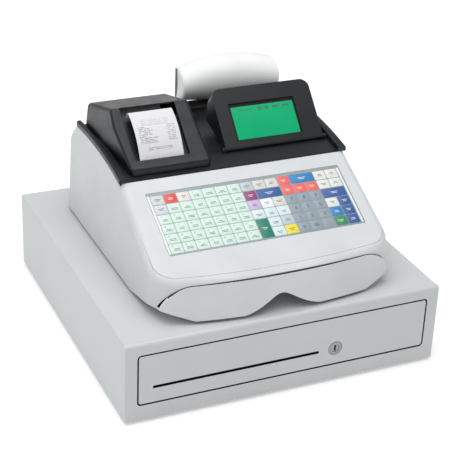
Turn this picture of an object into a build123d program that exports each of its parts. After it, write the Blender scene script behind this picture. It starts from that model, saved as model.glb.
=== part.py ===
from build123d import *

import math
import os

os.makedirs("parts", exist_ok=True)

# Ticket register: a cash register with a receipt printer on a cash drawer cabinet.
# Millimetres. X to the right, Y to the back, Z up. The origin is on the counter, under the
# middle of the cabinet. Every piece is drawn where it sits, with the drawer shut.

# ---------------------------------------------------------------- driving dimensions

# Cabinet
CABINET_W = 410.0
CABINET_D = 415.0
CABINET_H = 103.0
STEEL = 1.2                  # cabinet sheet
CABINET_FOOT_H = 4.0
CABINET_FOOT_R = 9.0
FOOT_INSET = 28.0            # foot centre from the cabinet's sides
SHELL_ROUND = 3.0            # bend radius along the top side edges
FRAME_DEPTH = 6.0            # front frame, front to back
FRAME_ROUND = 5.0            # its rounded top edge
OPENING_W = 380.0            # hole in the front frame
OPENING_H = 68.0
OPENING_RISE = 20.0          # its lower edge above the cabinet's bottom
OPENING_ROUND = 5.0

# Drawer
FRONT_GAP = 1.6              # all round the drawer front
FRONT_T = 4.0
PAN_SHEET = 1.0
PAN_H = 58.0
PAN_RISE = 3.0               # pan's floor above the opening's lower edge
PAN_D = 368.0
RAIL_CLEAR = 3.0             # rail to the side of the opening
RAIL_DEPTH = 9.0
RAIL_SHEET = 1.2
ROLLER_R = 8.0
ROLLER_PLAY = 0.3            # above and below a roller in its rail
FRONT_ROLLER_W = 6.0
REAR_ROLLER_W = 9.0
STUD_R = 3.0
RUNNING_FIT = 0.05           # radial, between a pin and what turns on it
SLOT_W = 214.0               # media slot in the drawer front
SLOT_H = 3.5
SLOT_X = -64.0
LOCK_X = 65.0
LOCK_Z = 47.5
LOCK_R = 9.2
LOCK_BARREL_R = 7.4
KEYWAY_W = 2.2
KEYWAY_H = 8.0

# Cash tray
TRAY_WALL = 2.4
TRAY_FLOOR = 2.0
TRAY_SKIRT = 8.0             # space for cheques under the tray
TRAY_H = 56.0
TRAY_PLAY = 0.8              # tray to pan, each side
CHUTE_D = 15.0               # behind the drawer front, below the slot
COLUMNS = 4
NOTE_L = 188.0               # note compartment, front to back
COIN_ROW_L = 76.0
DIVIDER_T = 2.0
NOTE_DIVIDER_H = 36.0
COIN_DIVIDER_H = 30.0
CLIP_ROD_R = 2.0
CLIP_ARM_L = 84.0
CLIP_ARM_W = 12.0
CLIP_HUB_W = 34.0
CLIP_DOWN = 24.0             # degrees below level when a clip rests

# Register body
BODY_W = 315.0
BODY_BACK = 162.5
BODY_FRONT = -188.0
BODY_GAP = 4.0               # under the body, on its feet
BODY_BOW = 17.0              # how far the front bows out
WALL = 2.5
LOWER_RIM = 5.5              # visible edge of the lower case
SIDE_TAPER = 2.3             # degrees
FRONT_CORNER_R = 34.0
BACK_CORNER_R = 22.0
TOP_ROUND = 3.0              # shoulders of the case
NOSE_ROUND = 12.0            # its front edge
FLOOR_T = 2.5
LIP_T = 2.0                  # lip of the lower case inside the upper case
SEAM = 0.3                   # between moulded case parts
KEY_SLOPE = 27.2             # degrees
KEY_Y = -140.8               # lower edge of the keyboard sheet
KEY_Z = 68.0                 # its height above the cabinet
CONSOLE_Y = -41.0            # where the keyboard plate meets the console
PLATE_T = 3.0
PLATE_W = 301.0
PLATE_DROP = 38.0            # front of the plate below the sheet, along the slope
PLATE_BOW = 9.0
PLATE_CORNER_R = 26.0
SHEET_X = 2.5                # centre of the keyboard sheet
SHEET_W = 258.0
SHEET_L = 92.0
SHEET_T = 0.8
BOARD_T = 1.6

# Front skirt
SKIRT_FRONT = -199.5
SKIRT_BOW = 20.5
SKIRT_CORNER_R = 26.0
SKIRT_H = 41.0
SKIRT_W = 304.0
SKIRT_SEAM_R = 40.0
SKIRT_WALL_IN = 16.0         # from the seam's ends to the wall behind the skirt
SKIRT_BACK = -150.0
SKIRT_STEP = 0.8             # its upper edge behind the nose of the body
SKIRT_OVERLAP = 40.0         # drawn this far back, then cut by its seam
ARCH_X = -4.0
ARCH_W = 108.0
ARCH_H = 20.0
LIFT_BACK = 94.0             # undercut of the front corners: where it starts on the sides,
LIFT_IN = 46.0               # how far it reaches in along the front,
LIFT_H = 16.0                # and its height at
LIFT_FRONT = 172.0           # this distance ahead of the middle

# Console and printer
CONSOLE_BACK = 122.0
CONSOLE_RISE = 1.0           # middle of the console above its seam
CONSOLE_SINK = 1.5           # and below it, inside the case
LEDGE = 8.0                  # width of the case's edge that carries the console
CONSOLE_BACK_Z = 129.0       # seam of console and case above the cabinet, at the back
CONSOLE_MID_Z = 131.0        # the same at y = 60
RIM_W = 12.0
RIM_H = 7.0
CREST_ROUND = 2.8            # along both edges of a rim
PRINTER_X = -90.5
PAPER_W = 57.0
PAPER_T = 0.3
ROLL_R = 29.0
ROLL_Y = 70.0
ROLL_RISE = 141.0            # roll axis above the cabinet
CORE_R = 6.5
PLATEN_R = 6.0
PLATEN_Y = 33.0
PLATEN_RISE = 155.0
PLATEN_SHAFT_R = 2.5
FRAME_PLATE = 2.0
MODULE = 1.0
PINION_TEETH = 10
IDLER_TEETH = 20
PLATEN_TEETH = 16
GEAR_W = 4.0
GEAR_PLAY = 0.25             # added to each centre distance
MOTOR_R = 11.0
MOTOR_L = 13.0
COVER_FRONT = -33.0
COVER_BACK = 110.0
COVER_RISE = 184.5           # crest above the cabinet
COVER_FALL = 21.0            # from the crest to the top of the cover's back
COVER_CREST_R = 26.0
COVER_BACK_R = 14.0
COVER_LIP_ROUND = 3.0
COVER_SLOPE = 40.0
COVER_WALL = 2.2
COVER_GAP = 0.6
COVER_TAPER = 7.0
COVER_LEFT = -147.0
COVER_RIGHT = -27.0
COVER_LIP_R = 7.0
COVER_HEEL_R = 7.0           # its back corners, seen from above
COVER_EDGE_R = 5.0           # along the sides of its slope and crest
COVER_SINK = 20.0            # drawn this far below the seam, then cut by the side view
LIP_D = 6.0                  # flat top of the front lip, front to back
COVER_LIP_RISE = 134.0       # top of the front lip above the cabinet
COVER_LIP_T = 4.0            # drop of the lip's front edge
TROUGH_D = 8.0
TROUGH_MARGIN = 7.5          # trough beyond the paper, each side

# Operator display
PANEL_X = 67.0
PANEL_W = 136.0
PANEL_TILT = 46.0            # degrees from level
PANEL_L = 80.0
PANEL_HINGE_Y = -8.5
PANEL_HINGE_RISE = 128.7
PANEL_HINGE_R = 3.0
PANEL_BACK = 63.0            # deepest point behind the hinge
PANEL_BACK_RISE = 15.5       # and above it
PANEL_EDGE = 8.0             # thickness of the upper edge
PANEL_WALL = 2.2
PANEL_SPLIT = 7.0            # depth of the front frame
PANEL_CORNER_R = 12.0
WINDOW_X = 62.7
WINDOW_W = 91.5
WINDOW_L = 50.5
WINDOW_UP = 7.5              # window's lower edge from the panel's lower edge
GLASS_T = 3.0
PIN_R = 1.5

# Customer display
HEAD_X = 64.0
HEAD_Y = 134.0
HEAD_W = 140.0
HEAD_D = 32.0
HEAD_RISE = 133.0            # lowest point of the head above the cabinet
HEAD_H = 61.0
HEAD_END_H = 45.0
HEAD_END_LIFT = 5.0          # lower corners of the ends above the lowest point
HEAD_ROUND = 5.0             # along the edges of both ends
HEAD_WALL = 2.2
BEZEL_D = 9.0                # black back, at its middle
BEZEL_EDGE = 1.2             # and at its upper and lower edge
SWIVEL_Y = 136.0
POST_W = 150.0
POST_ROUND = 6.0
POST_WALL = 2.5
STEM_R = 10.0
STEM_DEPTH = 14.0            # stem inside the post
STEM_HEAD = 6.0             # and above the head's lowest point
COLLAR_H = 1.4
COLLAR_RIM = 3.0             # collar beyond the stem
POST_GAP = 3.0               # post to head

# ---------------------------------------------------------------- places worked out from them

CAB_BOTTOM = CABINET_FOOT_H
CAB_TOP = CAB_BOTTOM + CABINET_H
CAB_FRONT = -CABINET_D / 2
CAB_BACK = CABINET_D / 2
CAB_SIDE = CABINET_W / 2
INNER_SIDE = CAB_SIDE - STEEL
OPENING_Z = CAB_BOTTOM + OPENING_RISE
FRAME_BACK = CAB_FRONT + FRAME_DEPTH
RAIL_OUT = OPENING_W / 2 - RAIL_CLEAR
PAN_SIDE = RAIL_OUT - RAIL_DEPTH
PAN_Z = OPENING_Z + PAN_RISE
PAN_FRONT = CAB_FRONT + FRONT_T
PAN_BACK = PAN_FRONT + PAN_D
RAIL_Z = OPENING_Z + OPENING_H / 2
RAIL_HALF = ROLLER_R + ROLLER_PLAY + RAIL_SHEET
FRONT_ROLLER_Y = FRAME_BACK + 17.0
REAR_ROLLER_Y = PAN_BACK - 16.0
TRAY_SIDE = PAN_SIDE - PAN_SHEET - TRAY_PLAY
TRAY_FRONT = PAN_FRONT + PAN_SHEET + CHUTE_D
TRAY_FLOOR_Z = PAN_Z + PAN_SHEET + TRAY_SKIRT
TRAY_IN = TRAY_SIDE - TRAY_WALL
TRAY_CAVITY = TRAY_FLOOR_Z + TRAY_FLOOR
COIN_SPLIT = TRAY_FRONT + TRAY_WALL + COIN_ROW_L
NOTE_SPLIT = COIN_SPLIT + DIVIDER_T + COIN_ROW_L
TRAY_BACK = NOTE_SPLIT + DIVIDER_T + NOTE_L + TRAY_WALL
TRAY_TOP = PAN_Z + PAN_SHEET + TRAY_H
CLIP_Y = TRAY_BACK - TRAY_WALL - 9.0
CLIP_Z = TRAY_TOP - 6.0
CASE_Z = CAB_TOP + BODY_GAP
UPPER_Z = CASE_Z + LOWER_RIM
SEAM_MID_Z = CAB_TOP + CONSOLE_MID_Z
SEAM_BACK_Z = CAB_TOP + CONSOLE_BACK_Z
SLOPE = math.radians(KEY_SLOPE)
KEY_SURFACE_Z = CAB_TOP + KEY_Z
KEY_PLANE = Plane(
    origin=(0, KEY_Y, KEY_SURFACE_Z),
    x_dir=(1, 0, 0),
    z_dir=(0, -math.sin(SLOPE), math.cos(SLOPE)),
)
CONSOLE_EDGE_Z = KEY_SURFACE_Z + (CONSOLE_Y - KEY_Y) * math.tan(SLOPE)
PLATE_TOP = (CONSOLE_Y - KEY_Y) / math.cos(SLOPE)
ROLL_Z = CAB_TOP + ROLL_RISE
PLATEN_Z = CAB_TOP + PLATEN_RISE
CREST_Z = CAB_TOP + COVER_RISE
TROUGH_W = PAPER_W + 2 * TROUGH_MARGIN
HINGE_Y = COVER_BACK + 3.0
HINGE_Z = SEAM_BACK_Z + CONSOLE_RISE + 4.2
PANEL_AXIS_Z = CAB_TOP + PANEL_HINGE_RISE
HEAD_Z = CAB_TOP + HEAD_RISE + HEAD_H / 2
HEAD_BOTTOM = HEAD_Z - HEAD_H / 2
POST_TOP = HEAD_BOTTOM - POST_GAP
LOW = (Align.MIN, Align.MIN, Align.MIN)

TURNS = {"x": (0, 90, 0), "y": (90, 0, 0), "z": (0, 0, 0)}


# ---------------------------------------------------------------- helpers

def block(xs, ys, zs, mode=Mode.ADD):
    """A box between two limits on each axis."""
    with Locations((xs[0], ys[0], zs[0])):
        Box(xs[1] - xs[0], ys[1] - ys[0], zs[1] - zs[0], align=LOW, mode=mode)


def rod(axis, centre, radius, length, mode=Mode.ADD):
    """A round bar along one axis, centred on a point."""
    with Locations(centre):
        Cylinder(radius, length, rotation=TURNS[axis], mode=mode)


def bowed_plan(half, front, bow, back, front_r, back_r):
    """A plan outline with a bowed front, straight sides and round corners."""
    with BuildSketch() as plan:
        with BuildLine():
            nose = ThreePointArc((-half, front + bow), (0, front), (half, front + bow))
            Polyline(nose @ 1, (half, back), (-half, back), nose @ 0)
        make_face()
        corners = plan.vertices().sort_by(Axis.Y)
        fillet(corners[:2], radius=front_r)
        if back_r > 0:
            fillet(plan.vertices().group_by(Axis.Y)[-1], radius=back_r)
    return plan.sketch


def console_line(lift):
    """The seam of console and case in side view, raised by a lift."""
    return [
        (CONSOLE_Y, CONSOLE_EDGE_Z + lift),
        (60.0, SEAM_MID_Z + lift),
        (CONSOLE_BACK, SEAM_BACK_Z + lift),
    ]


def console_z(y):
    """Height of the console's seam at one place, on the arc through its three points."""
    (ya, za), (yb, zb), (yc, zc) = console_line(0)
    slope_ab = (zb - za) / (yb - ya)
    slope_bc = (zc - zb) / (yc - yb)
    middle_ab = ((ya + yb) / 2, (za + zb) / 2)
    middle_bc = ((yb + yc) / 2, (zb + zc) / 2)
    centre_z = (middle_ab[0] - middle_bc[0] + slope_ab * middle_ab[1] - slope_bc * middle_bc[1]) / (
        slope_ab - slope_bc
    )
    centre_y = middle_ab[0] - slope_ab * (centre_z - middle_ab[1])
    radius = math.hypot(ya - centre_y, za - centre_z)
    return centre_z + math.sqrt(radius**2 - (y - centre_y) ** 2)


def side_profile(top_lift):
    """The body in side view: slope, console line, curved back."""
    front_z = KEY_SURFACE_Z + (SKIRT_FRONT - KEY_Y) * math.tan(SLOPE)
    with BuildSketch() as profile:
        with BuildLine():
            slope = Line((SKIRT_FRONT, front_z), (CONSOLE_Y, CONSOLE_EDGE_Z))
            seam = ThreePointArc(*console_line(top_lift))
            if top_lift > 0:
                Line(slope @ 1, seam @ 0)
            shoulder = ThreePointArc(
                seam @ 1,
                (BODY_BACK - 12.0, CASE_Z + 93.0),
                (BODY_BACK, CASE_Z + 54.0),
            )
            Polyline(shoulder @ 1, (BODY_BACK, CASE_Z), (SKIRT_FRONT, CASE_Z), slope @ 0)
        make_face()
        fillet(profile.vertices().group_by(Axis.Y)[0].sort_by(Axis.X)[-1], radius=17.0)
    return profile.sketch


def front_undercuts(inset):
    """Blocks below the sloping undersides of both front corners, drawn in by a wall."""
    cuts = []
    for side in (-1, 1):
        start = Vector(side * BODY_W / 2, -LIFT_BACK, CASE_Z)
        ahead = Vector(side * (BODY_W / 2 - LIFT_IN), SKIRT_FRONT + SKIRT_BOW / 2, CASE_Z)
        high = Vector(side * BODY_W / 2, -LIFT_FRONT, CASE_Z + LIFT_H)
        down = (high - start).cross(ahead - start).normalized() * side
        with BuildPart() as cut:
            with BuildSketch(Plane(origin=start - down * inset, z_dir=down)):
                Rectangle(BODY_W, BODY_W)
            extrude(amount=BODY_W)
        cuts.append(cut.part)
    return cuts


def case_form(inset, top_lift):
    """The whole body as one solid, drawn in by a wall."""
    with BuildPart() as form:
        with BuildSketch(Plane.XY.offset(CASE_Z)):
            add(bowed_plan(
                BODY_W / 2 - inset, BODY_FRONT + inset, BODY_BOW, BODY_BACK - inset,
                FRONT_CORNER_R - inset, BACK_CORNER_R - inset,
            ))
        extrude(amount=CREST_Z - CASE_Z, taper=SIDE_TAPER)
        with BuildSketch(Plane.YZ):
            add(side_profile(top_lift))
            if inset > 0:
                offset(amount=-inset)
                with Locations((0, CASE_Z + LOWER_RIM)):
                    Rectangle(2 * (BODY_BACK - inset), 4 * LOWER_RIM)
        extrude(amount=BODY_W, both=True, mode=Mode.INTERSECT)
    return form.part


def skirt_form(inset):
    """The front skirt as a solid, wider at its foot than at its seam."""
    half = BODY_W / 2 - inset
    with BuildPart() as form:
        with BuildSketch(Plane.XY.offset(CASE_Z)):
            add(bowed_plan(
                half, SKIRT_FRONT + inset, SKIRT_BOW, SKIRT_BACK + SKIRT_OVERLAP,
                SKIRT_CORNER_R - inset, 0,
            ))
        with BuildSketch(Plane.XY.offset(CASE_Z + SKIRT_H)):
            add(bowed_plan(
                half, BODY_FRONT + SKIRT_STEP + inset, BODY_BOW, SKIRT_BACK + SKIRT_OVERLAP,
                FRONT_CORNER_R - inset, 0,
            ))
        loft()
        for cut in front_undercuts(inset):
            add(cut, mode=Mode.SUBTRACT)
    return form.part


def gear_outline(teeth):
    """A spur wheel outline with straight-sided, slightly slim teeth."""
    pitch_r = MODULE * teeth / 2
    root_r = pitch_r - 1.2 * MODULE
    tip_r = pitch_r + 0.9 * MODULE
    step = 2 * math.pi / teeth
    points = []
    for tooth in range(teeth):
        middle = tooth * step
        for radius, half in ((root_r, 0.30), (pitch_r, 0.21), (tip_r, 0.10)):
            points.append((radius, middle - half * step))
        for radius, half in ((tip_r, 0.10), (pitch_r, 0.21), (root_r, 0.30)):
            points.append((radius, middle + half * step))
    with BuildSketch() as outline:
        with BuildLine():
            Polyline(
                *[(r * math.cos(a), r * math.sin(a)) for r, a in points],
                close=True,
            )
        make_face()
    return outline.sketch


def slope_of(part):
    """The flat keyboard slope of a body form."""
    flats = part.faces().filter_by(GeomType.PLANE)
    return flats.filter_by(lambda face: 0.5 < face.normal_at().Z < 0.95).sort_by(SortBy.AREA)[-1]


def shoulder_edges(part):
    """The edges where a body form's sides meet its top, from the nose to the curved back."""
    high = part.edges().filter_by(lambda edge: edge.center().Z > CASE_Z + BODY_GAP + 41.0)
    outer = high.filter_by(lambda edge: abs(edge.center().X) > BODY_W / 3)
    lengthwise = outer.filter_by(lambda edge: abs(edge.tangent_at(0.5).X) < 0.3)
    return lengthwise.filter_by(lambda edge: edge.center().Y < BODY_BACK - 12.5)


def plate_outline(grow):
    """The keyboard plate on its slope: bowed lower edge with round corners."""
    half = PLATE_W / 2 + grow
    with BuildSketch() as outline:
        with BuildLine():
            low = ThreePointArc(
                (-half, PLATE_BOW - PLATE_DROP - grow),
                (0, -PLATE_DROP - grow),
                (half, PLATE_BOW - PLATE_DROP - grow),
            )
            Polyline(low @ 1, (half, PLATE_TOP), (-half, PLATE_TOP), low @ 0)
        make_face()
        fillet(outline.vertices().sort_by(Axis.Y)[:2], radius=PLATE_CORNER_R + grow)
    return outline.sketch


def above_seam(lift, back):
    """The side-view region above the console's seam, as far back as it goes."""
    line = console_line(lift)
    with BuildSketch() as region:
        with BuildLine():
            seam = ThreePointArc(*line)
            Polyline(
                seam @ 1, (back, line[2][1]), (back, 2 * CREST_Z), (CONSOLE_Y, 2 * CREST_Z),
                seam @ 0,
            )
        make_face()
    return region.sketch


def skirt_window(grow):
    """The skirt in front view: flat seam with round corners down to the foot."""
    half = SKIRT_W / 2 + grow
    with BuildSketch() as window:
        with Locations((0, CASE_Z)):
            Rectangle(2 * half, SKIRT_H + grow, align=(Align.CENTER, Align.MIN))
        fillet(window.vertices().group_by(Axis.Y)[-1], radius=SKIRT_SEAM_R + grow)
    return window.sketch


def cover_plan(inset):
    """The printer cover from above, wider at the back on the left."""
    with BuildSketch() as plan:
        with BuildLine():
            Polyline(
                (COVER_LEFT + 13.0, COVER_FRONT), (COVER_LEFT, ROLL_Y), (COVER_LEFT, COVER_BACK),
                (COVER_RIGHT, COVER_BACK), (COVER_RIGHT - 2.0, COVER_FRONT), close=True,
            )
        make_face()
        fillet(plan.vertices().group_by(Axis.Y)[0], radius=COVER_LIP_R)
        fillet(plan.vertices().group_by(Axis.Y)[-1], radius=COVER_HEEL_R)
        if inset != 0:
            offset(amount=-inset)
    return plan.sketch


def slope_z(y):
    """Height of the cover's front slope at one place."""
    return CAB_TOP + COVER_LIP_RISE + (y - COVER_FRONT - LIP_D) * math.tan(
        math.radians(COVER_SLOPE)
    )


def cover_side(inset):
    """The printer cover in side view: lip, slope, crest and round back."""
    lip_y = COVER_FRONT + LIP_D
    lip_z = slope_z(lip_y)
    crest_y = lip_y + (CREST_Z - lip_z) / math.tan(math.radians(COVER_SLOPE))
    lift = CONSOLE_RISE + COVER_GAP - 3 * max(inset, 0) - min(inset, 0) / 2
    middle = (COVER_FRONT + COVER_BACK) / 2
    foot = [(y, console_z(y) + lift) for y in (COVER_BACK, middle, COVER_FRONT)]
    with BuildSketch() as side:
        with BuildLine():
            Polyline(
                foot[2], (COVER_FRONT, lip_z - COVER_LIP_T), (lip_y, lip_z), (crest_y, CREST_Z),
                (COVER_BACK, CREST_Z - COVER_FALL), foot[0],
            )
            ThreePointArc(*foot)
        make_face()
        corners = side.vertices()
        fillet(corners.sort_by_distance((lip_y, lip_z))[0], radius=COVER_LIP_ROUND)
        fillet(corners.sort_by_distance((crest_y, CREST_Z))[0], radius=COVER_CREST_R)
        fillet(corners.sort_by_distance((COVER_BACK, CREST_Z - COVER_FALL))[0],
               radius=COVER_BACK_R)
        if inset != 0:
            offset(amount=-inset)
    return side.sketch


def cover_front(inset):
    """The printer cover in front view: both sides lean inwards."""
    low = SEAM_MID_Z - COVER_SINK
    shift = (CREST_Z - low) * math.tan(math.radians(COVER_TAPER))
    with BuildSketch() as front:
        with BuildLine():
            Polyline(
                (COVER_LEFT, low), (COVER_RIGHT, low), (COVER_RIGHT - shift, CREST_Z),
                (COVER_LEFT + shift, CREST_Z), close=True,
            )
        make_face()
        if inset != 0:
            offset(amount=-inset)
        if inset > 0:
            with Locations((0, low)):
                Rectangle(2 * BODY_W, 4 * inset)
    return front.sketch


def cover_edges(form):
    """Where the cover's leaning sides meet its slope, crest and back."""
    sides = form.faces().filter_by(lambda face: abs(face.normal_at().X) > 0.9)
    tops = form.faces().filter_by(lambda face: abs(face.normal_at().X) < 0.3)
    return ShapeList(
        edge for edge in sides.edges()
        if edge.center().Z > slope_z(COVER_FRONT + LIP_D)
        and any(edge.is_same(other) for other in tops.edges())
    )


def cover_form(inset):
    """The printer cover as one solid."""
    low = SEAM_MID_Z - COVER_SINK
    with BuildPart() as form:
        with BuildSketch(Plane.XY.offset(low)):
            add(cover_plan(inset))
        extrude(amount=CREST_Z - low)
        with BuildSketch(Plane.XZ):
            add(cover_front(inset))
        extrude(amount=BODY_W, both=True, mode=Mode.INTERSECT)
        with BuildSketch(Plane.YZ):
            add(cover_side(inset))
        extrude(amount=BODY_W, both=True, mode=Mode.INTERSECT)
        if inset == 0:
            fillet(cover_edges(form), radius=COVER_EDGE_R)
    return form.part


# ---------------------------------------------------------------- cabinet

with BuildPart() as cabinet_shell:
    # One sheet folded over the top and down both sides.
    with BuildSketch(Plane.XZ.offset(-FRAME_BACK)):
        with Locations((0, CAB_BOTTOM)):
            Rectangle(CABINET_W, CABINET_H, align=(Align.CENTER, Align.MIN))
    extrude(amount=-(CAB_BACK - FRAME_BACK))
    fillet(
        cabinet_shell.edges().filter_by(Axis.Y).group_by(Axis.Z)[-1],
        radius=SHELL_ROUND,
    )
    block(
        (-INNER_SIDE, INNER_SIDE), (FRAME_BACK, CAB_BACK), (CAB_BOTTOM, CAB_TOP - STEEL),
        mode=Mode.SUBTRACT,
    )
cabinet_shell.part.label = "cabinet_shell"
export_step(cabinet_shell.part, "parts/cabinet_shell.step")

with BuildPart() as front_frame:
    # The ring round the drawer front, with rounded top and side edges.
    block(
        (-CAB_SIDE, CAB_SIDE), (CAB_FRONT, FRAME_BACK), (CAB_BOTTOM, CAB_TOP),
    )
    rim = front_frame.faces().sort_by(Axis.Y)[0].edges()
    fillet(rim.sort_by(Axis.Z)[-1], radius=FRAME_ROUND)
    with BuildSketch(Plane.XZ.offset(-CAB_FRONT)):
        with Locations((0, OPENING_Z + OPENING_H / 2)):
            RectangleRounded(OPENING_W, OPENING_H, OPENING_ROUND)
    extrude(amount=-FRAME_DEPTH, mode=Mode.SUBTRACT)
front_frame.part.label = "front_frame"
export_step(front_frame.part, "parts/front_frame.step")

FLANGE_H = 14.0
with BuildPart() as base_plate:
    # Floor sheet with its edges turned up inside the shell.
    block((-INNER_SIDE, INNER_SIDE), (FRAME_BACK, CAB_BACK), (CAB_BOTTOM, CAB_BOTTOM + FLANGE_H))
    block(
        (-INNER_SIDE + STEEL, INNER_SIDE - STEEL),
        (FRAME_BACK + STEEL, CAB_BACK - STEEL),
        (CAB_BOTTOM + STEEL, CAB_BOTTOM + FLANGE_H),
        mode=Mode.SUBTRACT,
    )
base_plate.part.label = "base_plate"
export_step(base_plate.part, "parts/base_plate.step")

SIGNAL_HOLE_R = 9.0
SIGNAL_HOLE_X = 120.0
with BuildPart() as back_plate:
    # Closes the back, with a round hole for the drawer's signal lead.
    block(
        (-INNER_SIDE, INNER_SIDE), (CAB_BACK - STEEL, CAB_BACK),
        (CAB_BOTTOM + FLANGE_H, CAB_TOP - STEEL),
    )
    rod("y", (SIGNAL_HOLE_X, CAB_BACK, CAB_BOTTOM + CABINET_H / 2), SIGNAL_HOLE_R, 4 * STEEL,
        mode=Mode.SUBTRACT)
back_plate.part.label = "back_plate"
export_step(back_plate.part, "parts/back_plate.step")

FOOT_X = CAB_SIDE - FOOT_INSET
FOOT_Y = CAB_BACK - FOOT_INSET
with BuildPart() as cabinet_feet:
    with BuildSketch():
        with GridLocations(2 * FOOT_X, 2 * FOOT_Y, 2, 2):
            Circle(CABINET_FOOT_R)
    extrude(amount=CABINET_FOOT_H)
    chamfer(cabinet_feet.faces().filter_by(Axis.Z).group_by(Axis.Z)[0].edges(), length=1.0)
cabinet_feet.part.label = "cabinet_feet"
export_step(cabinet_feet.part, "parts/cabinet_feet.step")

RUNNER_IN = OPENING_W / 2
RUNNER_WEB = INNER_SIDE - RAIL_SHEET
RUNNER_END = CAB_BACK - STEEL - 2.0
HEAD_T = 0.8
FRONT_ROLLER_IN = PAN_SIDE + RAIL_SHEET + 1.3
FRONT_ROLLER_OUT = FRONT_ROLLER_IN + FRONT_ROLLER_W
REAR_ROLLER_OUT = RUNNER_WEB - 1.6
REAR_ROLLER_IN = REAR_ROLLER_OUT - REAR_ROLLER_W

END_PLAY = 0.1               # roller to its collar and to the stud's head
COLLAR_R = STUD_R + 1.2


def stud(side, roller_in, roller_out, web, centre_y):
    """A riveted stud from a web to past a roller, with a collar and a head."""
    inward = -1 if web > roller_out else 1
    seat = roller_out + END_PLAY if inward < 0 else roller_in - END_PLAY
    tip = roller_in - END_PLAY if inward < 0 else roller_out + END_PLAY
    head = tip + inward * HEAD_T
    for start, end, radius in ((web, seat, COLLAR_R), (web, head, STUD_R), (tip, head, COLLAR_R)):
        rod("x", (side * (start + end) / 2, centre_y, RAIL_Z), radius, abs(end - start))


with BuildPart() as cabinet_runners:
    # Channels screwed to the cabinet's sides.
    for side in (-1, 1):
        block(
            sorted((side * RUNNER_IN, side * INNER_SIDE)), (FRAME_BACK, RUNNER_END),
            (RAIL_Z - RAIL_HALF, RAIL_Z + RAIL_HALF),
        )
        block(
            sorted((side * (RUNNER_IN - 1), side * RUNNER_WEB)),
            (FRAME_BACK - 1, RUNNER_END + 1),
            (RAIL_Z - RAIL_HALF + RAIL_SHEET, RAIL_Z + RAIL_HALF - RAIL_SHEET),
            mode=Mode.SUBTRACT,
        )
cabinet_runners.part.label = "cabinet_runners"
export_step(cabinet_runners.part, "parts/cabinet_runners.step")

with BuildPart() as front_studs:
    for side in (-1, 1):
        stud(side, FRONT_ROLLER_IN, FRONT_ROLLER_OUT, RUNNER_WEB, FRONT_ROLLER_Y)
front_studs.part.label = "front_studs"
export_step(front_studs.part, "parts/front_studs.step")

with BuildPart() as drawer_rails:
    # Channels riveted to the pan's sides.
    for side in (-1, 1):
        block(
            sorted((side * PAN_SIDE, side * RAIL_OUT)), (PAN_FRONT + 2, PAN_BACK),
            (RAIL_Z - RAIL_HALF, RAIL_Z + RAIL_HALF),
        )
        block(
            sorted((side * (PAN_SIDE + RAIL_SHEET), side * (RAIL_OUT + 1))),
            (PAN_FRONT, PAN_BACK + 1),
            (RAIL_Z - RAIL_HALF + RAIL_SHEET, RAIL_Z + RAIL_HALF - RAIL_SHEET),
            mode=Mode.SUBTRACT,
        )
drawer_rails.part.label = "drawer_rails"
export_step(drawer_rails.part, "parts/drawer_rails.step")

with BuildPart() as rear_studs:
    for side in (-1, 1):
        stud(side, REAR_ROLLER_IN, REAR_ROLLER_OUT, PAN_SIDE + RAIL_SHEET, REAR_ROLLER_Y)
rear_studs.part.label = "rear_studs"
export_step(rear_studs.part, "parts/rear_studs.step")

with BuildPart() as front_rollers:
    for side in (-1, 1):
        middle = side * (FRONT_ROLLER_IN + FRONT_ROLLER_OUT) / 2
        rod("x", (middle, FRONT_ROLLER_Y, RAIL_Z), ROLLER_R, FRONT_ROLLER_W)
        rod("x", (middle, FRONT_ROLLER_Y, RAIL_Z), STUD_R + RUNNING_FIT, FRONT_ROLLER_W,
            mode=Mode.SUBTRACT)
front_rollers.part.label = "front_rollers"
export_step(front_rollers.part, "parts/front_rollers.step")

with BuildPart() as rear_rollers:
    for side in (-1, 1):
        middle = side * (REAR_ROLLER_IN + REAR_ROLLER_OUT) / 2
        rod("x", (middle, REAR_ROLLER_Y, RAIL_Z), ROLLER_R, REAR_ROLLER_W)
        rod("x", (middle, REAR_ROLLER_Y, RAIL_Z), STUD_R + RUNNING_FIT, REAR_ROLLER_W,
            mode=Mode.SUBTRACT)
rear_rollers.part.label = "rear_rollers"
export_step(rear_rollers.part, "parts/rear_rollers.step")

# ---------------------------------------------------------------- latch at the back

TONGUE_L = 18.0
TONGUE_W = 20.0
TONGUE_T = 3.0
TONGUE_Z = PAN_Z + 24.0
HOLE_L = 8.0
HOLE_W = 9.0
HOOK_PIVOT_Y = PAN_BACK + 22.0
HOOK_PIVOT_Z = TONGUE_Z + 11.0
HOOK_W = 6.0
HOOK_PIN_R = 2.0
TOOTH_AHEAD = 2.5            # tooth ahead of the hole, because it swings in an arc
HOLE_Y = PAN_BACK + 9.5
CHEEK_T = 1.6
with BuildPart() as striker:
    # Tongue on the pan's back wall, with the hole that the hook drops into.
    block((-TONGUE_W / 2, TONGUE_W / 2), (PAN_BACK, PAN_BACK + TONGUE_L),
          (TONGUE_Z, TONGUE_Z + TONGUE_T))
    block((-TONGUE_W / 2, TONGUE_W / 2), (PAN_BACK, PAN_BACK + 1.5),
          (TONGUE_Z - 10, TONGUE_Z + TONGUE_T))
    block((-HOLE_W / 2, HOLE_W / 2), (HOLE_Y - HOLE_L / 2, HOLE_Y + HOLE_L / 2),
          (TONGUE_Z - 1, TONGUE_Z + TONGUE_T + 1), mode=Mode.SUBTRACT)
striker.part.label = "striker"
export_step(striker.part, "parts/striker.step")

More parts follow.
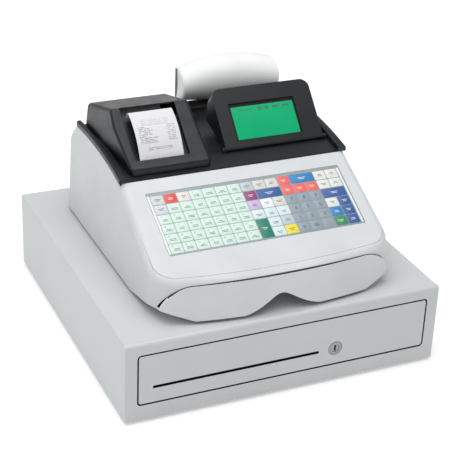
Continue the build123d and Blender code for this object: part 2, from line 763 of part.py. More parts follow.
with BuildPart() as latch_hook:
    # Lever on a pin: its tooth hangs over the hole when the drawer is free.
    tooth_y = HOLE_Y - TOOTH_AHEAD
    tooth_z = TONGUE_Z + TONGUE_T + 0.8
    with BuildSketch(Plane.YZ):
        with BuildLine():
            Polyline(
                (tooth_y - 1.6, tooth_z),
                (tooth_y + 1.6, tooth_z),
                (tooth_y + 1.6, HOOK_PIVOT_Z - 3.0),
                (HOOK_PIVOT_Y + 12.0, HOOK_PIVOT_Z - 3.0),
                (HOOK_PIVOT_Y + 12.0, HOOK_PIVOT_Z + 2.0),
                (HOOK_PIVOT_Y, HOOK_PIVOT_Z + 4.5),
                (tooth_y - 1.6, HOOK_PIVOT_Z + 1.0),
                close=True,
            )
        make_face()
    extrude(amount=HOOK_W / 2, both=True)
    rod("x", (0, HOOK_PIVOT_Y, HOOK_PIVOT_Z), HOOK_PIN_R + RUNNING_FIT, 2 * HOOK_W,
        mode=Mode.SUBTRACT)
latch_hook.part.label = "latch_hook"
export_step(latch_hook.part, "parts/latch_hook.step")

BRACKET_W = HOOK_W + 2 * 0.4 + 2 * CHEEK_T
COIL_W = 24.0
COIL_Y = HOOK_PIVOT_Y + 9.0
COIL_TOP = HOOK_PIVOT_Z - 14.0
PLUNGER_R = 3.0
BASE_TOP = CAB_BOTTOM + STEEL
with BuildPart() as latch_bracket:
    # Foot on the base plate, two cheeks and the hook's pin.
    with BuildSketch(Plane.YZ):
        with BuildLine():
            Polyline(
                (HOOK_PIVOT_Y - 3.0, BASE_TOP),
                (HOOK_PIVOT_Y - 3.0, HOOK_PIVOT_Z + 5.0),
                (HOOK_PIVOT_Y + 4.5, HOOK_PIVOT_Z + 5.0),
                (HOOK_PIVOT_Y + 4.5, COIL_TOP + 1.0),
                (HOOK_PIVOT_Y + 0.5, COIL_TOP + 1.0),
                (HOOK_PIVOT_Y + 0.5, BASE_TOP),
                close=True,
            )
        make_face()
    extrude(amount=BRACKET_W / 2, both=True)
    block((-BRACKET_W / 2 + CHEEK_T, BRACKET_W / 2 - CHEEK_T),
          (HOOK_PIVOT_Y - 10, HOOK_PIVOT_Y + 6), (TONGUE_Z - 2, HOOK_PIVOT_Z + 6),
          mode=Mode.SUBTRACT)
    block((-BRACKET_W / 2 - 8, BRACKET_W / 2 + 8),
          (HOOK_PIVOT_Y - 9.0, HOOK_PIVOT_Y + 0.5), (BASE_TOP, BASE_TOP + 2))
    rod("x", (0, HOOK_PIVOT_Y, HOOK_PIVOT_Z), HOOK_PIN_R, BRACKET_W)
latch_bracket.part.label = "latch_bracket"
export_step(latch_bracket.part, "parts/latch_bracket.step")

with BuildPart() as solenoid:
    # Coil in its steel frame, with a vertical bore for the plunger.
    block((-COIL_W / 2, COIL_W / 2), (HOOK_PIVOT_Y + 0.7, CAB_BACK - STEEL - 0.6),
          (BASE_TOP, COIL_TOP))
    rod("z", (0, COIL_Y, COIL_TOP), PLUNGER_R + RUNNING_FIT, 2 * 22.0, mode=Mode.SUBTRACT)
solenoid.part.label = "solenoid"
export_step(solenoid.part, "parts/solenoid.step")

with BuildPart() as plunger:
    rod("z", (0, COIL_Y, (COIL_TOP - 16.0 + HOOK_PIVOT_Z - 3.8) / 2), PLUNGER_R,
        HOOK_PIVOT_Z - 3.8 - COIL_TOP + 16.0)
plunger.part.label = "solenoid_plunger"
export_step(plunger.part, "parts/solenoid_plunger.step")

EJECTOR_X = 60.0
WIRE_R = 0.8
EJECTOR_R = 6.0
with BuildPart() as ejector:
    # Post on the base plate with the push-out spring, shown pressed together.
    block((EJECTOR_X - 9, EJECTOR_X + 9), (CAB_BACK - STEEL - 14, CAB_BACK - STEEL - 11),
          (BASE_TOP, RAIL_Z + 9))
    block((EJECTOR_X - 9, EJECTOR_X + 9), (CAB_BACK - STEEL - 14, CAB_BACK - STEEL),
          (BASE_TOP, BASE_TOP + 2))
    back = CAB_BACK - STEEL - 14
    rod("y", (EJECTOR_X, (PAN_BACK + 4 + back) / 2, RAIL_Z), 2.5, back - PAN_BACK - 4)
    rod("y", (EJECTOR_X, PAN_BACK + 2.3, RAIL_Z), EJECTOR_R + 2, 4.0)
    pitch = 2.6
    for turn in range(int((back - PAN_BACK - 6) / pitch)):
        with Locations(Location((EJECTOR_X, PAN_BACK + 5.6 + turn * pitch, RAIL_Z), (90, 0, 0))):
            Torus(2.5 + WIRE_R - 0.1, WIRE_R)
ejector.part.label = "ejector"
export_step(ejector.part, "parts/ejector.step")

# ---------------------------------------------------------------- drawer

with BuildPart() as drawer_pan:
    block((-PAN_SIDE, PAN_SIDE), (PAN_FRONT, PAN_BACK), (PAN_Z, PAN_Z + PAN_H))
    block(
        (-PAN_SIDE + PAN_SHEET, PAN_SIDE - PAN_SHEET),
        (PAN_FRONT + PAN_SHEET, PAN_BACK - PAN_SHEET),
        (PAN_Z + PAN_SHEET, PAN_Z + PAN_H),
        mode=Mode.SUBTRACT,
    )
    slot_z = LOCK_Z - 1.0
    block(
        (SLOT_X - SLOT_W / 2 - 2, SLOT_X + SLOT_W / 2 + 2),
        (PAN_FRONT - 1, PAN_FRONT + 2),
        (slot_z - SLOT_H / 2 - 1, slot_z + SLOT_H / 2 + 1),
        mode=Mode.SUBTRACT,
    )
    rod("y", (LOCK_X, PAN_FRONT, LOCK_Z), LOCK_BARREL_R + 0.8, 4.0, mode=Mode.SUBTRACT)
drawer_pan.part.label = "drawer_pan"
export_step(drawer_pan.part, "parts/drawer_pan.step")

with BuildPart() as drawer_front:
    # Front plate with the media slot and the hole for the lock.
    with BuildSketch(Plane.XZ.offset(-CAB_FRONT)):
        with Locations((0, OPENING_Z + OPENING_H / 2)):
            RectangleRounded(
                OPENING_W - 2 * FRONT_GAP, OPENING_H - 2 * FRONT_GAP, OPENING_ROUND - FRONT_GAP,
            )
        with Locations((SLOT_X, slot_z)):
            SlotOverall(SLOT_W, SLOT_H, mode=Mode.SUBTRACT)
        with Locations((LOCK_X, LOCK_Z)):
            Circle(LOCK_BARREL_R + 0.2, mode=Mode.SUBTRACT)
    extrude(amount=-FRONT_T)
    outline = drawer_front.faces().sort_by(Axis.Y)[0].outer_wire().edges()
    fillet(outline, radius=1.0)
    with BuildSketch(Plane.XZ.offset(-CAB_FRONT)):
        with Locations((LOCK_X, LOCK_Z)):
            Circle(LOCK_R + 0.1)
    extrude(amount=-1.5, mode=Mode.SUBTRACT)
drawer_front.part.label = "drawer_front"
export_step(drawer_front.part, "parts/drawer_front.step")

LOCK_PLUG_R = 5.2
LOCK_L = 12.0
with BuildPart() as lock_body:
    # Flanged barrel through the drawer front.
    rod("y", (LOCK_X, CAB_FRONT + 0.75, LOCK_Z), LOCK_R, 1.5)
    rod("y", (LOCK_X, CAB_FRONT + 1.5 + LOCK_L / 2, LOCK_Z), LOCK_BARREL_R, LOCK_L)
    fillet(lock_body.faces().sort_by(Axis.Y)[0].outer_wire().edges(), radius=0.7)
    rod("y", (LOCK_X, CAB_FRONT + LOCK_L / 2, LOCK_Z), LOCK_PLUG_R + RUNNING_FIT, 2 * LOCK_L,
        mode=Mode.SUBTRACT)
lock_body.part.label = "lock_body"
export_step(lock_body.part, "parts/lock_body.step")

CAM_Y = CAB_FRONT + 1.5 + LOCK_L + 0.4
CAM_T = 1.8
CAM_REACH = OPENING_Z + OPENING_H + 5.0 - LOCK_Z
with BuildPart() as lock_plug:
    # Turning plug with an upright key slot, and the cam on its back end.
    plug_front = CAB_FRONT + 0.4
    plug_back = CAM_Y + CAM_T
    rod("y", (LOCK_X, (plug_front + plug_back) / 2, LOCK_Z), LOCK_PLUG_R, plug_back - plug_front)
    block((LOCK_X, LOCK_X + CAM_REACH), (CAM_Y, CAM_Y + CAM_T), (LOCK_Z - 4.5, LOCK_Z + 4.5))
    block((LOCK_X - KEYWAY_W / 2, LOCK_X + KEYWAY_W / 2), (CAB_FRONT, CAB_FRONT + 9),
          (LOCK_Z - KEYWAY_H / 2, LOCK_Z + KEYWAY_H / 2), mode=Mode.SUBTRACT)
lock_plug.part.label = "lock_plug"
export_step(lock_plug.part, "parts/lock_plug.step")

with BuildPart() as tray_tub:
    # Plastic tray on two side skirts, so that cheques slide in below it.
    block((-TRAY_SIDE, TRAY_SIDE), (TRAY_FRONT, TRAY_BACK), (PAN_Z + PAN_SHEET, TRAY_TOP))
    block(
        (-TRAY_IN, TRAY_IN), (TRAY_FRONT + TRAY_WALL, TRAY_BACK - TRAY_WALL),
        (TRAY_CAVITY, TRAY_TOP + 1), mode=Mode.SUBTRACT,
    )
    block(
        (-TRAY_IN, TRAY_IN), (TRAY_FRONT - 1, TRAY_BACK + 1),
        (PAN_Z + PAN_SHEET - 1, TRAY_FLOOR_Z), mode=Mode.SUBTRACT,
    )
tray_tub.part.label = "tray_tub"
export_step(tray_tub.part, "parts/tray_tub.step")

PITCH = 2 * TRAY_IN / COLUMNS
DIVIDER_XS = [-TRAY_IN + PITCH * (i + 1) for i in range(COLUMNS - 1)]
with BuildPart() as tray_dividers:
    for x in DIVIDER_XS:
        thickness = (x - DIVIDER_T / 2, x + DIVIDER_T / 2)
        block(thickness, (NOTE_SPLIT + DIVIDER_T, TRAY_BACK - TRAY_WALL),
              (TRAY_CAVITY, TRAY_CAVITY + NOTE_DIVIDER_H))
        for start in (TRAY_FRONT + TRAY_WALL, COIN_SPLIT + DIVIDER_T):
            block(thickness, (start, start + COIN_ROW_L),
                  (TRAY_CAVITY, TRAY_CAVITY + COIN_DIVIDER_H))
tray_dividers.part.label = "tray_dividers"
export_step(tray_dividers.part, "parts/tray_dividers.step")

with BuildPart() as cross_walls:
    block((-TRAY_IN, TRAY_IN), (COIN_SPLIT, COIN_SPLIT + DIVIDER_T),
          (TRAY_CAVITY, TRAY_CAVITY + COIN_DIVIDER_H))
    block((-TRAY_IN, TRAY_IN), (NOTE_SPLIT, NOTE_SPLIT + DIVIDER_T),
          (TRAY_CAVITY, TRAY_CAVITY + NOTE_DIVIDER_H))
cross_walls.part.label = "cross_walls"
export_step(cross_walls.part, "parts/cross_walls.step")

with BuildPart() as clip_rod:
    rod("x", (0, CLIP_Y, CLIP_Z), CLIP_ROD_R, 2 * TRAY_IN)
clip_rod.part.label = "clip_rod"
export_step(clip_rod.part, "parts/clip_rod.step")

clip_drop = math.radians(CLIP_DOWN)
for column in range(COLUMNS):
    x = -TRAY_IN + PITCH * (column + 0.5)
    with BuildPart() as note_clip:
        # Hub on the rod, arm down to the notes and a crosswise pad at its end.
        rod("x", (x, CLIP_Y, CLIP_Z), CLIP_ROD_R + 2.0, CLIP_HUB_W)
        arm_plane = Plane(
            origin=(x, CLIP_Y, CLIP_Z), x_dir=(1, 0, 0),
            z_dir=(0, -math.sin(clip_drop), math.cos(clip_drop)),
        )
        with BuildSketch(arm_plane.offset(CLIP_ROD_R + 0.2)):
            with Locations((0, -CLIP_ARM_L / 2)):
                Rectangle(CLIP_ARM_W, CLIP_ARM_L)
        extrude(amount=1.6)
        pad_y = CLIP_Y - CLIP_ARM_L * math.cos(clip_drop)
        pad_z = CLIP_Z - CLIP_ARM_L * math.sin(clip_drop)
        rod("x", (x, pad_y, pad_z + CLIP_ROD_R + 0.8), 3.0, CLIP_HUB_W)
        rod("x", (x, CLIP_Y, CLIP_Z), CLIP_ROD_R + RUNNING_FIT, 2 * CLIP_HUB_W,
            mode=Mode.SUBTRACT)
    note_clip.part.label = "note_clip_" + str(column + 1)
    export_step(note_clip.part, "parts/note_clip_" + str(column + 1) + ".step")

# ---------------------------------------------------------------- register case

with BuildPart() as case_hollow:
    add(case_form(WALL, 0))
    for cut in front_undercuts(WALL):
        add(cut, mode=Mode.SUBTRACT)
case_inner = case_hollow.part

with BuildPart() as case_round:
    add(case_form(0, 0))
    fillet(slope_of(case_round.part).edges().sort_by(Axis.Y)[0], radius=NOSE_ROUND)
    fillet(shoulder_edges(case_round.part), radius=TOP_ROUND)
case_full = case_round.part
with BuildPart() as case_lifted:
    add(case_full)
    for cut in front_undercuts(0):
        add(cut, mode=Mode.SUBTRACT)
case_outer = case_lifted.part

with BuildPart() as lower_hollow:
    with BuildSketch(Plane.XY.offset(CASE_Z + FLOOR_T)) as hollow:
        with Locations((0, BODY_BACK - WALL - LIP_T)):
            Rectangle(BODY_W - 2 * (WALL + LIP_T), BODY_BACK - SKIRT_BACK - 2 * WALL - LIP_T,
                      align=(Align.CENTER, Align.MAX))
        fillet(hollow.vertices().group_by(Axis.Y)[-1], radius=BACK_CORNER_R - WALL - LIP_T)
    extrude(amount=LOWER_RIM)
    for cut in front_undercuts(WALL):
        add(cut, mode=Mode.SUBTRACT)

with BuildPart() as lower_case:
    # Shallow tray under the body, with a wall behind the skirt.
    add(case_outer)
    block((-BODY_W, BODY_W), (-BODY_W, BODY_W), (UPPER_Z, 2 * CREST_Z), mode=Mode.SUBTRACT)
    block((-BODY_W, BODY_W), (-BODY_W, SKIRT_BACK), (0, 2 * UPPER_Z), mode=Mode.SUBTRACT)
    add(lower_hollow.part, mode=Mode.SUBTRACT)
    wall_half = SKIRT_W / 2 - SKIRT_WALL_IN
    block((-wall_half, wall_half), (SKIRT_BACK, SKIRT_BACK + WALL),
          (CASE_Z, CASE_Z + SKIRT_H - WALL))
    for cut in front_undercuts(0):
        add(cut, mode=Mode.SUBTRACT)
lower_case.part.label = "lower_case"
export_step(lower_case.part, "parts/lower_case.step")

RIB_X = 118.0
with BuildPart() as front_skirt:
    # Bowed apron, wider at its foot, with an arch in its lower edge and two ribs behind.
    add(skirt_form(0))
    add(skirt_form(WALL), mode=Mode.SUBTRACT)
    for x in (-RIB_X, RIB_X):
        block((x - WALL / 2, x + WALL / 2), (SKIRT_FRONT, SKIRT_BACK),
              (CASE_Z, CASE_Z + SKIRT_H - 8))
    add(skirt_form(0), mode=Mode.INTERSECT)
    with BuildSketch(Plane.XZ.offset(-SKIRT_BACK)):
        add(skirt_window(0))
    extrude(amount=BODY_W, mode=Mode.INTERSECT)
    with BuildSketch(Plane.XZ.offset(-SKIRT_BACK)):
        with BuildLine():
            left = (ARCH_X - ARCH_W / 2, CASE_Z - 1)
            right = (ARCH_X + ARCH_W / 2, CASE_Z - 1)
            crown = Spline(
                left, (ARCH_X, CASE_Z + ARCH_H), right, tangents=((1, 0.15), (1, -0.15)),
                tangent_scalars=(1.6, 1.6),
            )
            Line(right, left)
        make_face()
    extrude(amount=BODY_W, mode=Mode.SUBTRACT)
front_skirt.part.label = "front_skirt"
export_step(front_skirt.part, "parts/front_skirt.step")

PORT_X = (-110.0, 20.0)
PORT_Z = (CASE_Z + 14.0, CASE_Z + 48.0)
with BuildPart() as upper_case:
    # White shell: side walls, nose band and back, open for the plate and the console.
    add(case_outer)
    add(case_inner, mode=Mode.SUBTRACT)
    with BuildSketch(KEY_PLANE.offset(-PLATE_T)):
        add(plate_outline(WALL))
    extrude(amount=-LIP_T)
    with BuildSketch(KEY_PLANE.offset(-PLATE_T)):
        add(plate_outline(-LEDGE))
    extrude(amount=-2 * LIP_T, mode=Mode.SUBTRACT)
    with BuildSketch(KEY_PLANE.offset(-PLATE_T)):
        add(plate_outline(SEAM))
    extrude(amount=2 * PLATE_T, mode=Mode.SUBTRACT)
    add(case_outer, mode=Mode.INTERSECT)
    block((-BODY_W, BODY_W), (SKIRT_BACK - SEAM, BODY_W), (0, UPPER_Z), mode=Mode.SUBTRACT)
    with BuildSketch(Plane.XZ.offset(-SKIRT_BACK)):
        add(skirt_window(SEAM))
    extrude(amount=BODY_W, mode=Mode.SUBTRACT)
    with BuildSketch(Plane.XY.offset(SEAM_MID_Z - 30.0)):
        with BuildLine():
            edge = BODY_W / 2 - WALL - LEDGE
            Polyline(
                (-edge, CONSOLE_Y + LEDGE), (edge, CONSOLE_Y + LEDGE),
                (edge, CONSOLE_BACK - LEDGE), (-edge, CONSOLE_BACK - LEDGE), close=True,
            )
        make_face()
    extrude(amount=BODY_W, mode=Mode.SUBTRACT)
    block(PORT_X, (BODY_BACK - 2 * WALL, BODY_BACK + 1), PORT_Z, mode=Mode.SUBTRACT)
    rod("z", (HEAD_X, SWIVEL_Y, POST_TOP), STEM_R + 2 * SEAM, 3 * STEM_DEPTH, mode=Mode.SUBTRACT)
upper_case.part.label = "upper_case"
export_step(upper_case.part, "parts/upper_case.step")

with BuildPart() as keyboard_plate:
    # White panel with a shallow pocket for the keyboard sheet.
    with BuildSketch(KEY_PLANE):
        add(plate_outline(0))
    extrude(amount=-PLATE_T)
    add(case_full, mode=Mode.INTERSECT)
    with BuildSketch(KEY_PLANE):
        with Locations((SHEET_X, SHEET_L / 2)):
            RectangleRounded(SHEET_W + SEAM, SHEET_L + SEAM, 2.0)
    extrude(amount=-SHEET_T, mode=Mode.SUBTRACT)
keyboard_plate.part.label = "keyboard_plate"
export_step(keyboard_plate.part, "parts/keyboard_plate.step")

with BuildPart() as keyboard_sheet:
    with BuildSketch(KEY_PLANE.offset(-SHEET_T)):
        with Locations((SHEET_X, SHEET_L / 2)):
            RectangleRounded(SHEET_W, SHEET_L, 2.0)
    extrude(amount=SHEET_T)
keyboard_sheet.part.label = "keyboard_sheet"
export_step(keyboard_sheet.part, "parts/keyboard_sheet.step")

with BuildPart() as keyboard_board:
    with BuildSketch(KEY_PLANE.offset(-PLATE_T)):
        with Locations((SHEET_X, SHEET_L / 2)):
            Rectangle(SHEET_W, SHEET_L - 4.0)
    extrude(amount=-BOARD_T)
keyboard_board.part.label = "keyboard_board"
export_step(keyboard_board.part, "parts/keyboard_board.step")

BOARD_X = (-50.0, 140.0)
BOARD_Y = (-100.0, 120.0)
STANDOFF_H = 8.0
FLOOR_TOP = CASE_Z + FLOOR_T
with BuildPart() as main_board:
    # Main circuit board on four standoffs, with its larger components.
    board_z = FLOOR_TOP + STANDOFF_H
    block(BOARD_X, BOARD_Y, (board_z, board_z + BOARD_T))
    for x in (BOARD_X[0] + 8, BOARD_X[1] - 8):
        for y in (BOARD_Y[0] + 8, BOARD_Y[1] - 8):
            rod("z", (x, y, FLOOR_TOP + STANDOFF_H / 2), 3.5, STANDOFF_H)
    chip_z = board_z + BOARD_T
    block((20, 48), (-20, 8), (chip_z, chip_z + 3))
    block((70, 100), (-30, -16), (chip_z, chip_z + 4))
    block((70, 100), (0, 14), (chip_z, chip_z + 4))
    for x in (-30, -8):
        rod("z", (x, 90, chip_z + 9), 6.0, 18.0)
main_board.part.label = "main_board"
export_step(main_board.part, "parts/main_board.step")

CORE_BOX = (-140.0, -84.0, -112.0, -64.0)
with BuildPart() as transformer:
    # Mains transformer: laminated core with its winding, on the case floor.
    x0, x1, y0, y1 = CORE_BOX
    block((x0, x1), (y0, y1), (FLOOR_TOP, FLOOR_TOP + 46))
    block((x0 + 9, x1 - 9), (y0 - 9, y1 + 9), (FLOOR_TOP + 8, FLOOR_TOP + 38))
    block((x0 - 3, x1 + 8), (y0 + 8, y1 - 8), (FLOOR_TOP, FLOOR_TOP + 2))
transformer.part.label = "transformer"
export_step(transformer.part, "parts/transformer.step")

PANEL_DEPTH = 9.0
with BuildPart() as socket_panel:
    # Recessed black panel at the back: mains inlet, two data sockets, drawer socket.
    wide = (PORT_X[0] + SEAM, PORT_X[1] - SEAM)
    tall = (PORT_Z[0] + SEAM, PORT_Z[1] - SEAM)
    face_y = BODY_BACK - 1.5
    block(wide, (face_y - PANEL_DEPTH, face_y), tall)
    flange = 4.0
    lean = (tall[1] + flange - CASE_Z) * math.tan(math.radians(SIDE_TAPER))
    block((wide[0] - flange, wide[1] + flange),
          (face_y - PANEL_DEPTH, BODY_BACK - WALL - lean - SEAM),
          (tall[0] - flange, tall[1] + flange))
    middle_z = (tall[0] + tall[1]) / 2
    block((wide[0] + 8, wide[0] + 36), (face_y - 7, face_y + 1), (middle_z - 10, middle_z + 10),
          mode=Mode.SUBTRACT)
    for start in (48, 82):
        block((wide[0] + start, wide[0] + start + 24), (face_y - 6, face_y + 1),
              (middle_z - 5, middle_z + 5), mode=Mode.SUBTRACT)
    block((wide[1] - 16, wide[1] - 4), (face_y - 7, face_y + 1), (middle_z - 6, middle_z + 6),
          mode=Mode.SUBTRACT)
    for step in (-7, 0, 7):
        lift = 3.0 if step == 0 else -2.0
        block((wide[0] + 21 + step, wide[0] + 23 + step), (face_y - 8, face_y - 2),
              (middle_z + lift - 2, middle_z + lift + 2))
socket_panel.part.label = "socket_panel"
export_step(socket_panel.part, "parts/socket_panel.step")

REG_FOOT_R = 8.0
REG_FOOT_IN = 28.0
REG_FOOT_AHEAD = 22.0
with BuildPart() as register_feet:
    with BuildSketch(Plane.XY.offset(CAB_TOP)):
        for x in (-BODY_W / 2 + REG_FOOT_IN, BODY_W / 2 - REG_FOOT_IN):
            for y in (SKIRT_BACK + REG_FOOT_AHEAD, BODY_BACK - REG_FOOT_IN):
                with Locations((x, y)):
                    Circle(REG_FOOT_R)
    extrude(amount=BODY_GAP)
register_feet.part.label = "register_feet"
export_step(register_feet.part, "parts/register_feet.step")

# ---------------------------------------------------------------- console

WELL_MARGIN = 9.0
PANEL_IN = PANEL_X - PANEL_W / 2
PANEL_OUT = PANEL_X + PANEL_W / 2
LUG_W = 4.0
LUG_GAP = 0.5
PIN_L = 5.0
KNUCKLE_R = 2.8
LUG_R = 2.6
KNUCKLE_W = 10.0
KNUCKLE_XS = (COVER_LEFT + 24.0, COVER_RIGHT - 24.0)
HINGE_LUG_W = 4.0
with BuildPart() as console_cover:
    # Black lid of the case: raised rims at both sides, a low middle and the printer's well.
    add(case_form(0, RIM_H))
    with BuildSketch(Plane.YZ):
        add(above_seam(0, CONSOLE_BACK))
    extrude(amount=BODY_W, both=True, mode=Mode.INTERSECT)
    block((-BODY_W, BODY_W), (CONSOLE_BACK, BODY_W), (0, 2 * CREST_Z), mode=Mode.SUBTRACT)
    with BuildSketch(Plane.YZ):
        add(above_seam(CONSOLE_RISE, 2 * CONSOLE_BACK))
        with Locations((CONSOLE_Y, CREST_Z)):
            Rectangle(2.0, 2 * (CREST_Z - CONSOLE_EDGE_Z - CONSOLE_RISE))
    extrude(amount=BODY_W / 2 - RIM_W - 4.0, both=True, mode=Mode.SUBTRACT)
    crests = console_cover.edges().filter_by(lambda edge: edge.length > 100)
    crests = crests.filter_by(
        lambda edge: edge.center().Z > console_z(edge.center().Y) + RIM_H - CREST_ROUND / 2
    )
    fillet(crests, radius=CREST_ROUND)
    with BuildSketch(Plane.YZ):
        add(above_seam(-CONSOLE_SINK, 2 * CONSOLE_BACK))
        add(above_seam(CONSOLE_RISE, 2 * CONSOLE_BACK), mode=Mode.SUBTRACT)
        with Locations((CONSOLE_Y + LEDGE + SEAM, 0)):
            Rectangle(BODY_W, 4 * CREST_Z, align=(Align.MIN, Align.CENTER), mode=Mode.INTERSECT)
        with Locations((CONSOLE_BACK - LEDGE - SEAM, 0)):
            Rectangle(BODY_W, 4 * CREST_Z, align=(Align.MAX, Align.CENTER), mode=Mode.INTERSECT)
    extrude(amount=BODY_W / 2 - WALL - LEDGE - SEAM, both=True)
    block(
        (PRINTER_X - TROUGH_W / 2 - WELL_MARGIN, PRINTER_X + TROUGH_W / 2 + 2 * WELL_MARGIN),
        (COVER_FRONT + WELL_MARGIN, COVER_BACK - WELL_MARGIN / 2), (CASE_Z, 2 * CREST_Z),
        mode=Mode.SUBTRACT,
    )
    add(cover_form(-COVER_GAP), mode=Mode.SUBTRACT)
    # Room behind the printer cover, where its back edge swings as it opens.
    with BuildSketch(Plane.YZ.offset(COVER_LEFT)):
        add(above_seam(CONSOLE_RISE, 2 * CONSOLE_BACK))
        with Locations((COVER_BACK - LIP_D, 0)):
            Rectangle(BODY_W, 4 * CREST_Z, align=(Align.MIN, Align.CENTER), mode=Mode.INTERSECT)
    extrude(amount=RIM_W, mode=Mode.SUBTRACT)
    rod("x", (PANEL_X, PANEL_HINGE_Y, PANEL_AXIS_Z), PANEL_HINGE_R + COVER_GAP,
        PANEL_W + 2 * LUG_GAP, mode=Mode.SUBTRACT)
    # Lugs of the operator display, with their pins pointing inwards.
    seat_z = PANEL_AXIS_Z - PANEL_HINGE_R - CONSOLE_SINK
    for start, side in ((PANEL_IN - LUG_GAP, -1), (PANEL_OUT + LUG_GAP, 1)):
        reach = sorted((start, start + side * LUG_W))
        block(reach, (PANEL_HINGE_Y - PANEL_HINGE_R, PANEL_HINGE_Y + PANEL_HINGE_R),
              (seat_z, PANEL_AXIS_Z))
        rod("x", (sum(reach) / 2, PANEL_HINGE_Y, PANEL_AXIS_Z), PANEL_HINGE_R, LUG_W)
        rod("x", (start - side * PIN_L / 2, PANEL_HINGE_Y, PANEL_AXIS_Z), PIN_R, PIN_L)
    # Lugs of the printer cover, outside its knuckles, with their pins.
    for knuckle_x in KNUCKLE_XS:
        for side in (-1, 1):
            start = knuckle_x + side * (KNUCKLE_W / 2 + LUG_GAP / 2)
            reach = sorted((start, start + side * HINGE_LUG_W))
            block(reach, (HINGE_Y - LUG_R, HINGE_Y + LUG_R),
                  (SEAM_BACK_Z + CONSOLE_RISE, HINGE_Z))
            rod("x", (sum(reach) / 2, HINGE_Y, HINGE_Z), LUG_R, HINGE_LUG_W)
        rod("x", (knuckle_x, HINGE_Y, HINGE_Z), PIN_R, KNUCKLE_W + LUG_GAP)
console_cover.part.label = "console_cover"
export_step(console_cover.part, "parts/console_cover.step")

# ---------------------------------------------------------------- printer

TROUGH_FRONT = COVER_FRONT + LIP_D + 4.0
SLOT_FRONT = PLATEN_Y - 7.5
SLOT_BACK = PLATEN_Y + 1.5
HIGH = 2 * CREST_Z
cover_outer = cover_form(0)
with BuildPart() as printer_cover:
    # Hinged lid with a sunk trough in its slope and the paper slot at the trough's top.
    add(cover_outer)
    add(cover_form(COVER_WALL), mode=Mode.SUBTRACT)
    deep = TROUGH_D + COVER_WALL
    with BuildSketch(Plane.YZ.offset(PRINTER_X)):
        with BuildLine():
            Polyline(
                (TROUGH_FRONT - COVER_WALL, HIGH),
                (TROUGH_FRONT - COVER_WALL, slope_z(TROUGH_FRONT) - deep),
                (SLOT_FRONT, slope_z(SLOT_FRONT) - deep), (SLOT_FRONT, HIGH), close=True,
            )
        make_face()
    extrude(amount=TROUGH_W / 2 + COVER_WALL, both=True)
    add(cover_outer, mode=Mode.INTERSECT)
    with BuildSketch(Plane.YZ.offset(PRINTER_X)):
        with BuildLine():
            Polyline(
                (TROUGH_FRONT, HIGH), (TROUGH_FRONT, slope_z(TROUGH_FRONT) - TROUGH_D),
                (SLOT_FRONT, slope_z(SLOT_FRONT) - TROUGH_D), (SLOT_FRONT, PLATEN_Z),
                (SLOT_BACK, PLATEN_Z), (SLOT_BACK, HIGH), close=True,
            )
        make_face()
    extrude(amount=TROUGH_W / 2, both=True, mode=Mode.SUBTRACT)
    for knuckle_x in KNUCKLE_XS:
        rod("x", (knuckle_x, HINGE_Y, HINGE_Z), KNUCKLE_R, KNUCKLE_W - LUG_GAP)
        block(
            (knuckle_x - KNUCKLE_W / 2 + LUG_GAP / 2, knuckle_x + KNUCKLE_W / 2 - LUG_GAP / 2),
            (COVER_BACK - COVER_WALL, HINGE_Y), (HINGE_Z - 1.5, HINGE_Z + KNUCKLE_R),
        )
        rod("x", (knuckle_x, HINGE_Y, HINGE_Z), PIN_R + RUNNING_FIT, 2 * KNUCKLE_W,
            mode=Mode.SUBTRACT)
printer_cover.part.label = "printer_cover"
export_step(printer_cover.part, "parts/printer_cover.step")

BAR_T = 1.2
BAR_H = 3.6
TOOTH_PITCH = 2.0
BAR_W = PAPER_W + 8.0
with BuildPart() as tear_bar:
    # Saw-toothed steel strip along the front of the slot.
    bar_back = SLOT_FRONT - 0.2
    floor_back = slope_z(bar_back) - TROUGH_D
    floor_front = slope_z(bar_back - BAR_T) - TROUGH_D
    with BuildSketch(Plane.YZ.offset(PRINTER_X)):
        with BuildLine():
            Polyline(
                (bar_back - BAR_T, floor_front), (bar_back, floor_back),
                (bar_back, floor_back + BAR_H), (bar_back - BAR_T, floor_back + BAR_H),
                close=True,
            )
        make_face()
    extrude(amount=BAR_W / 2, both=True)
    with BuildSketch(Plane.XZ.offset(-bar_back - 1)):
        for tooth in range(int(BAR_W / TOOTH_PITCH)):
            with Locations((PRINTER_X - BAR_W / 2 + (tooth + 1) * TOOTH_PITCH,
                            floor_back + BAR_H)):
                Rectangle(1.0, 1.0, rotation=45)
    extrude(amount=4 * BAR_T, mode=Mode.SUBTRACT)
tear_bar.part.label = "tear_bar"
export_step(tear_bar.part, "parts/tear_bar.step")

BUCKET_GAP = 0.5
PLATE_GAP = 1.5              # paper to each side plate
WALL_IN = PAPER_W / 2 + PLATE_GAP
LEG_Y = (45.0, 85.0)
LEFT_WALL = PRINTER_X - WALL_IN - FRAME_PLATE
RIGHT_WALL = PRINTER_X + WALL_IN
GEAR_X = RIGHT_WALL + FRAME_PLATE + 1.0
MOTOR_X = GEAR_X + GEAR_W + 1.0
MOTOR_PLATE = 1.5


def polar(centre, distance, degrees):
    """A point at a distance and angle from another, in side view."""
    angle = math.radians(degrees)
    return (centre[0] + distance * math.cos(angle), centre[1] + distance * math.sin(angle))


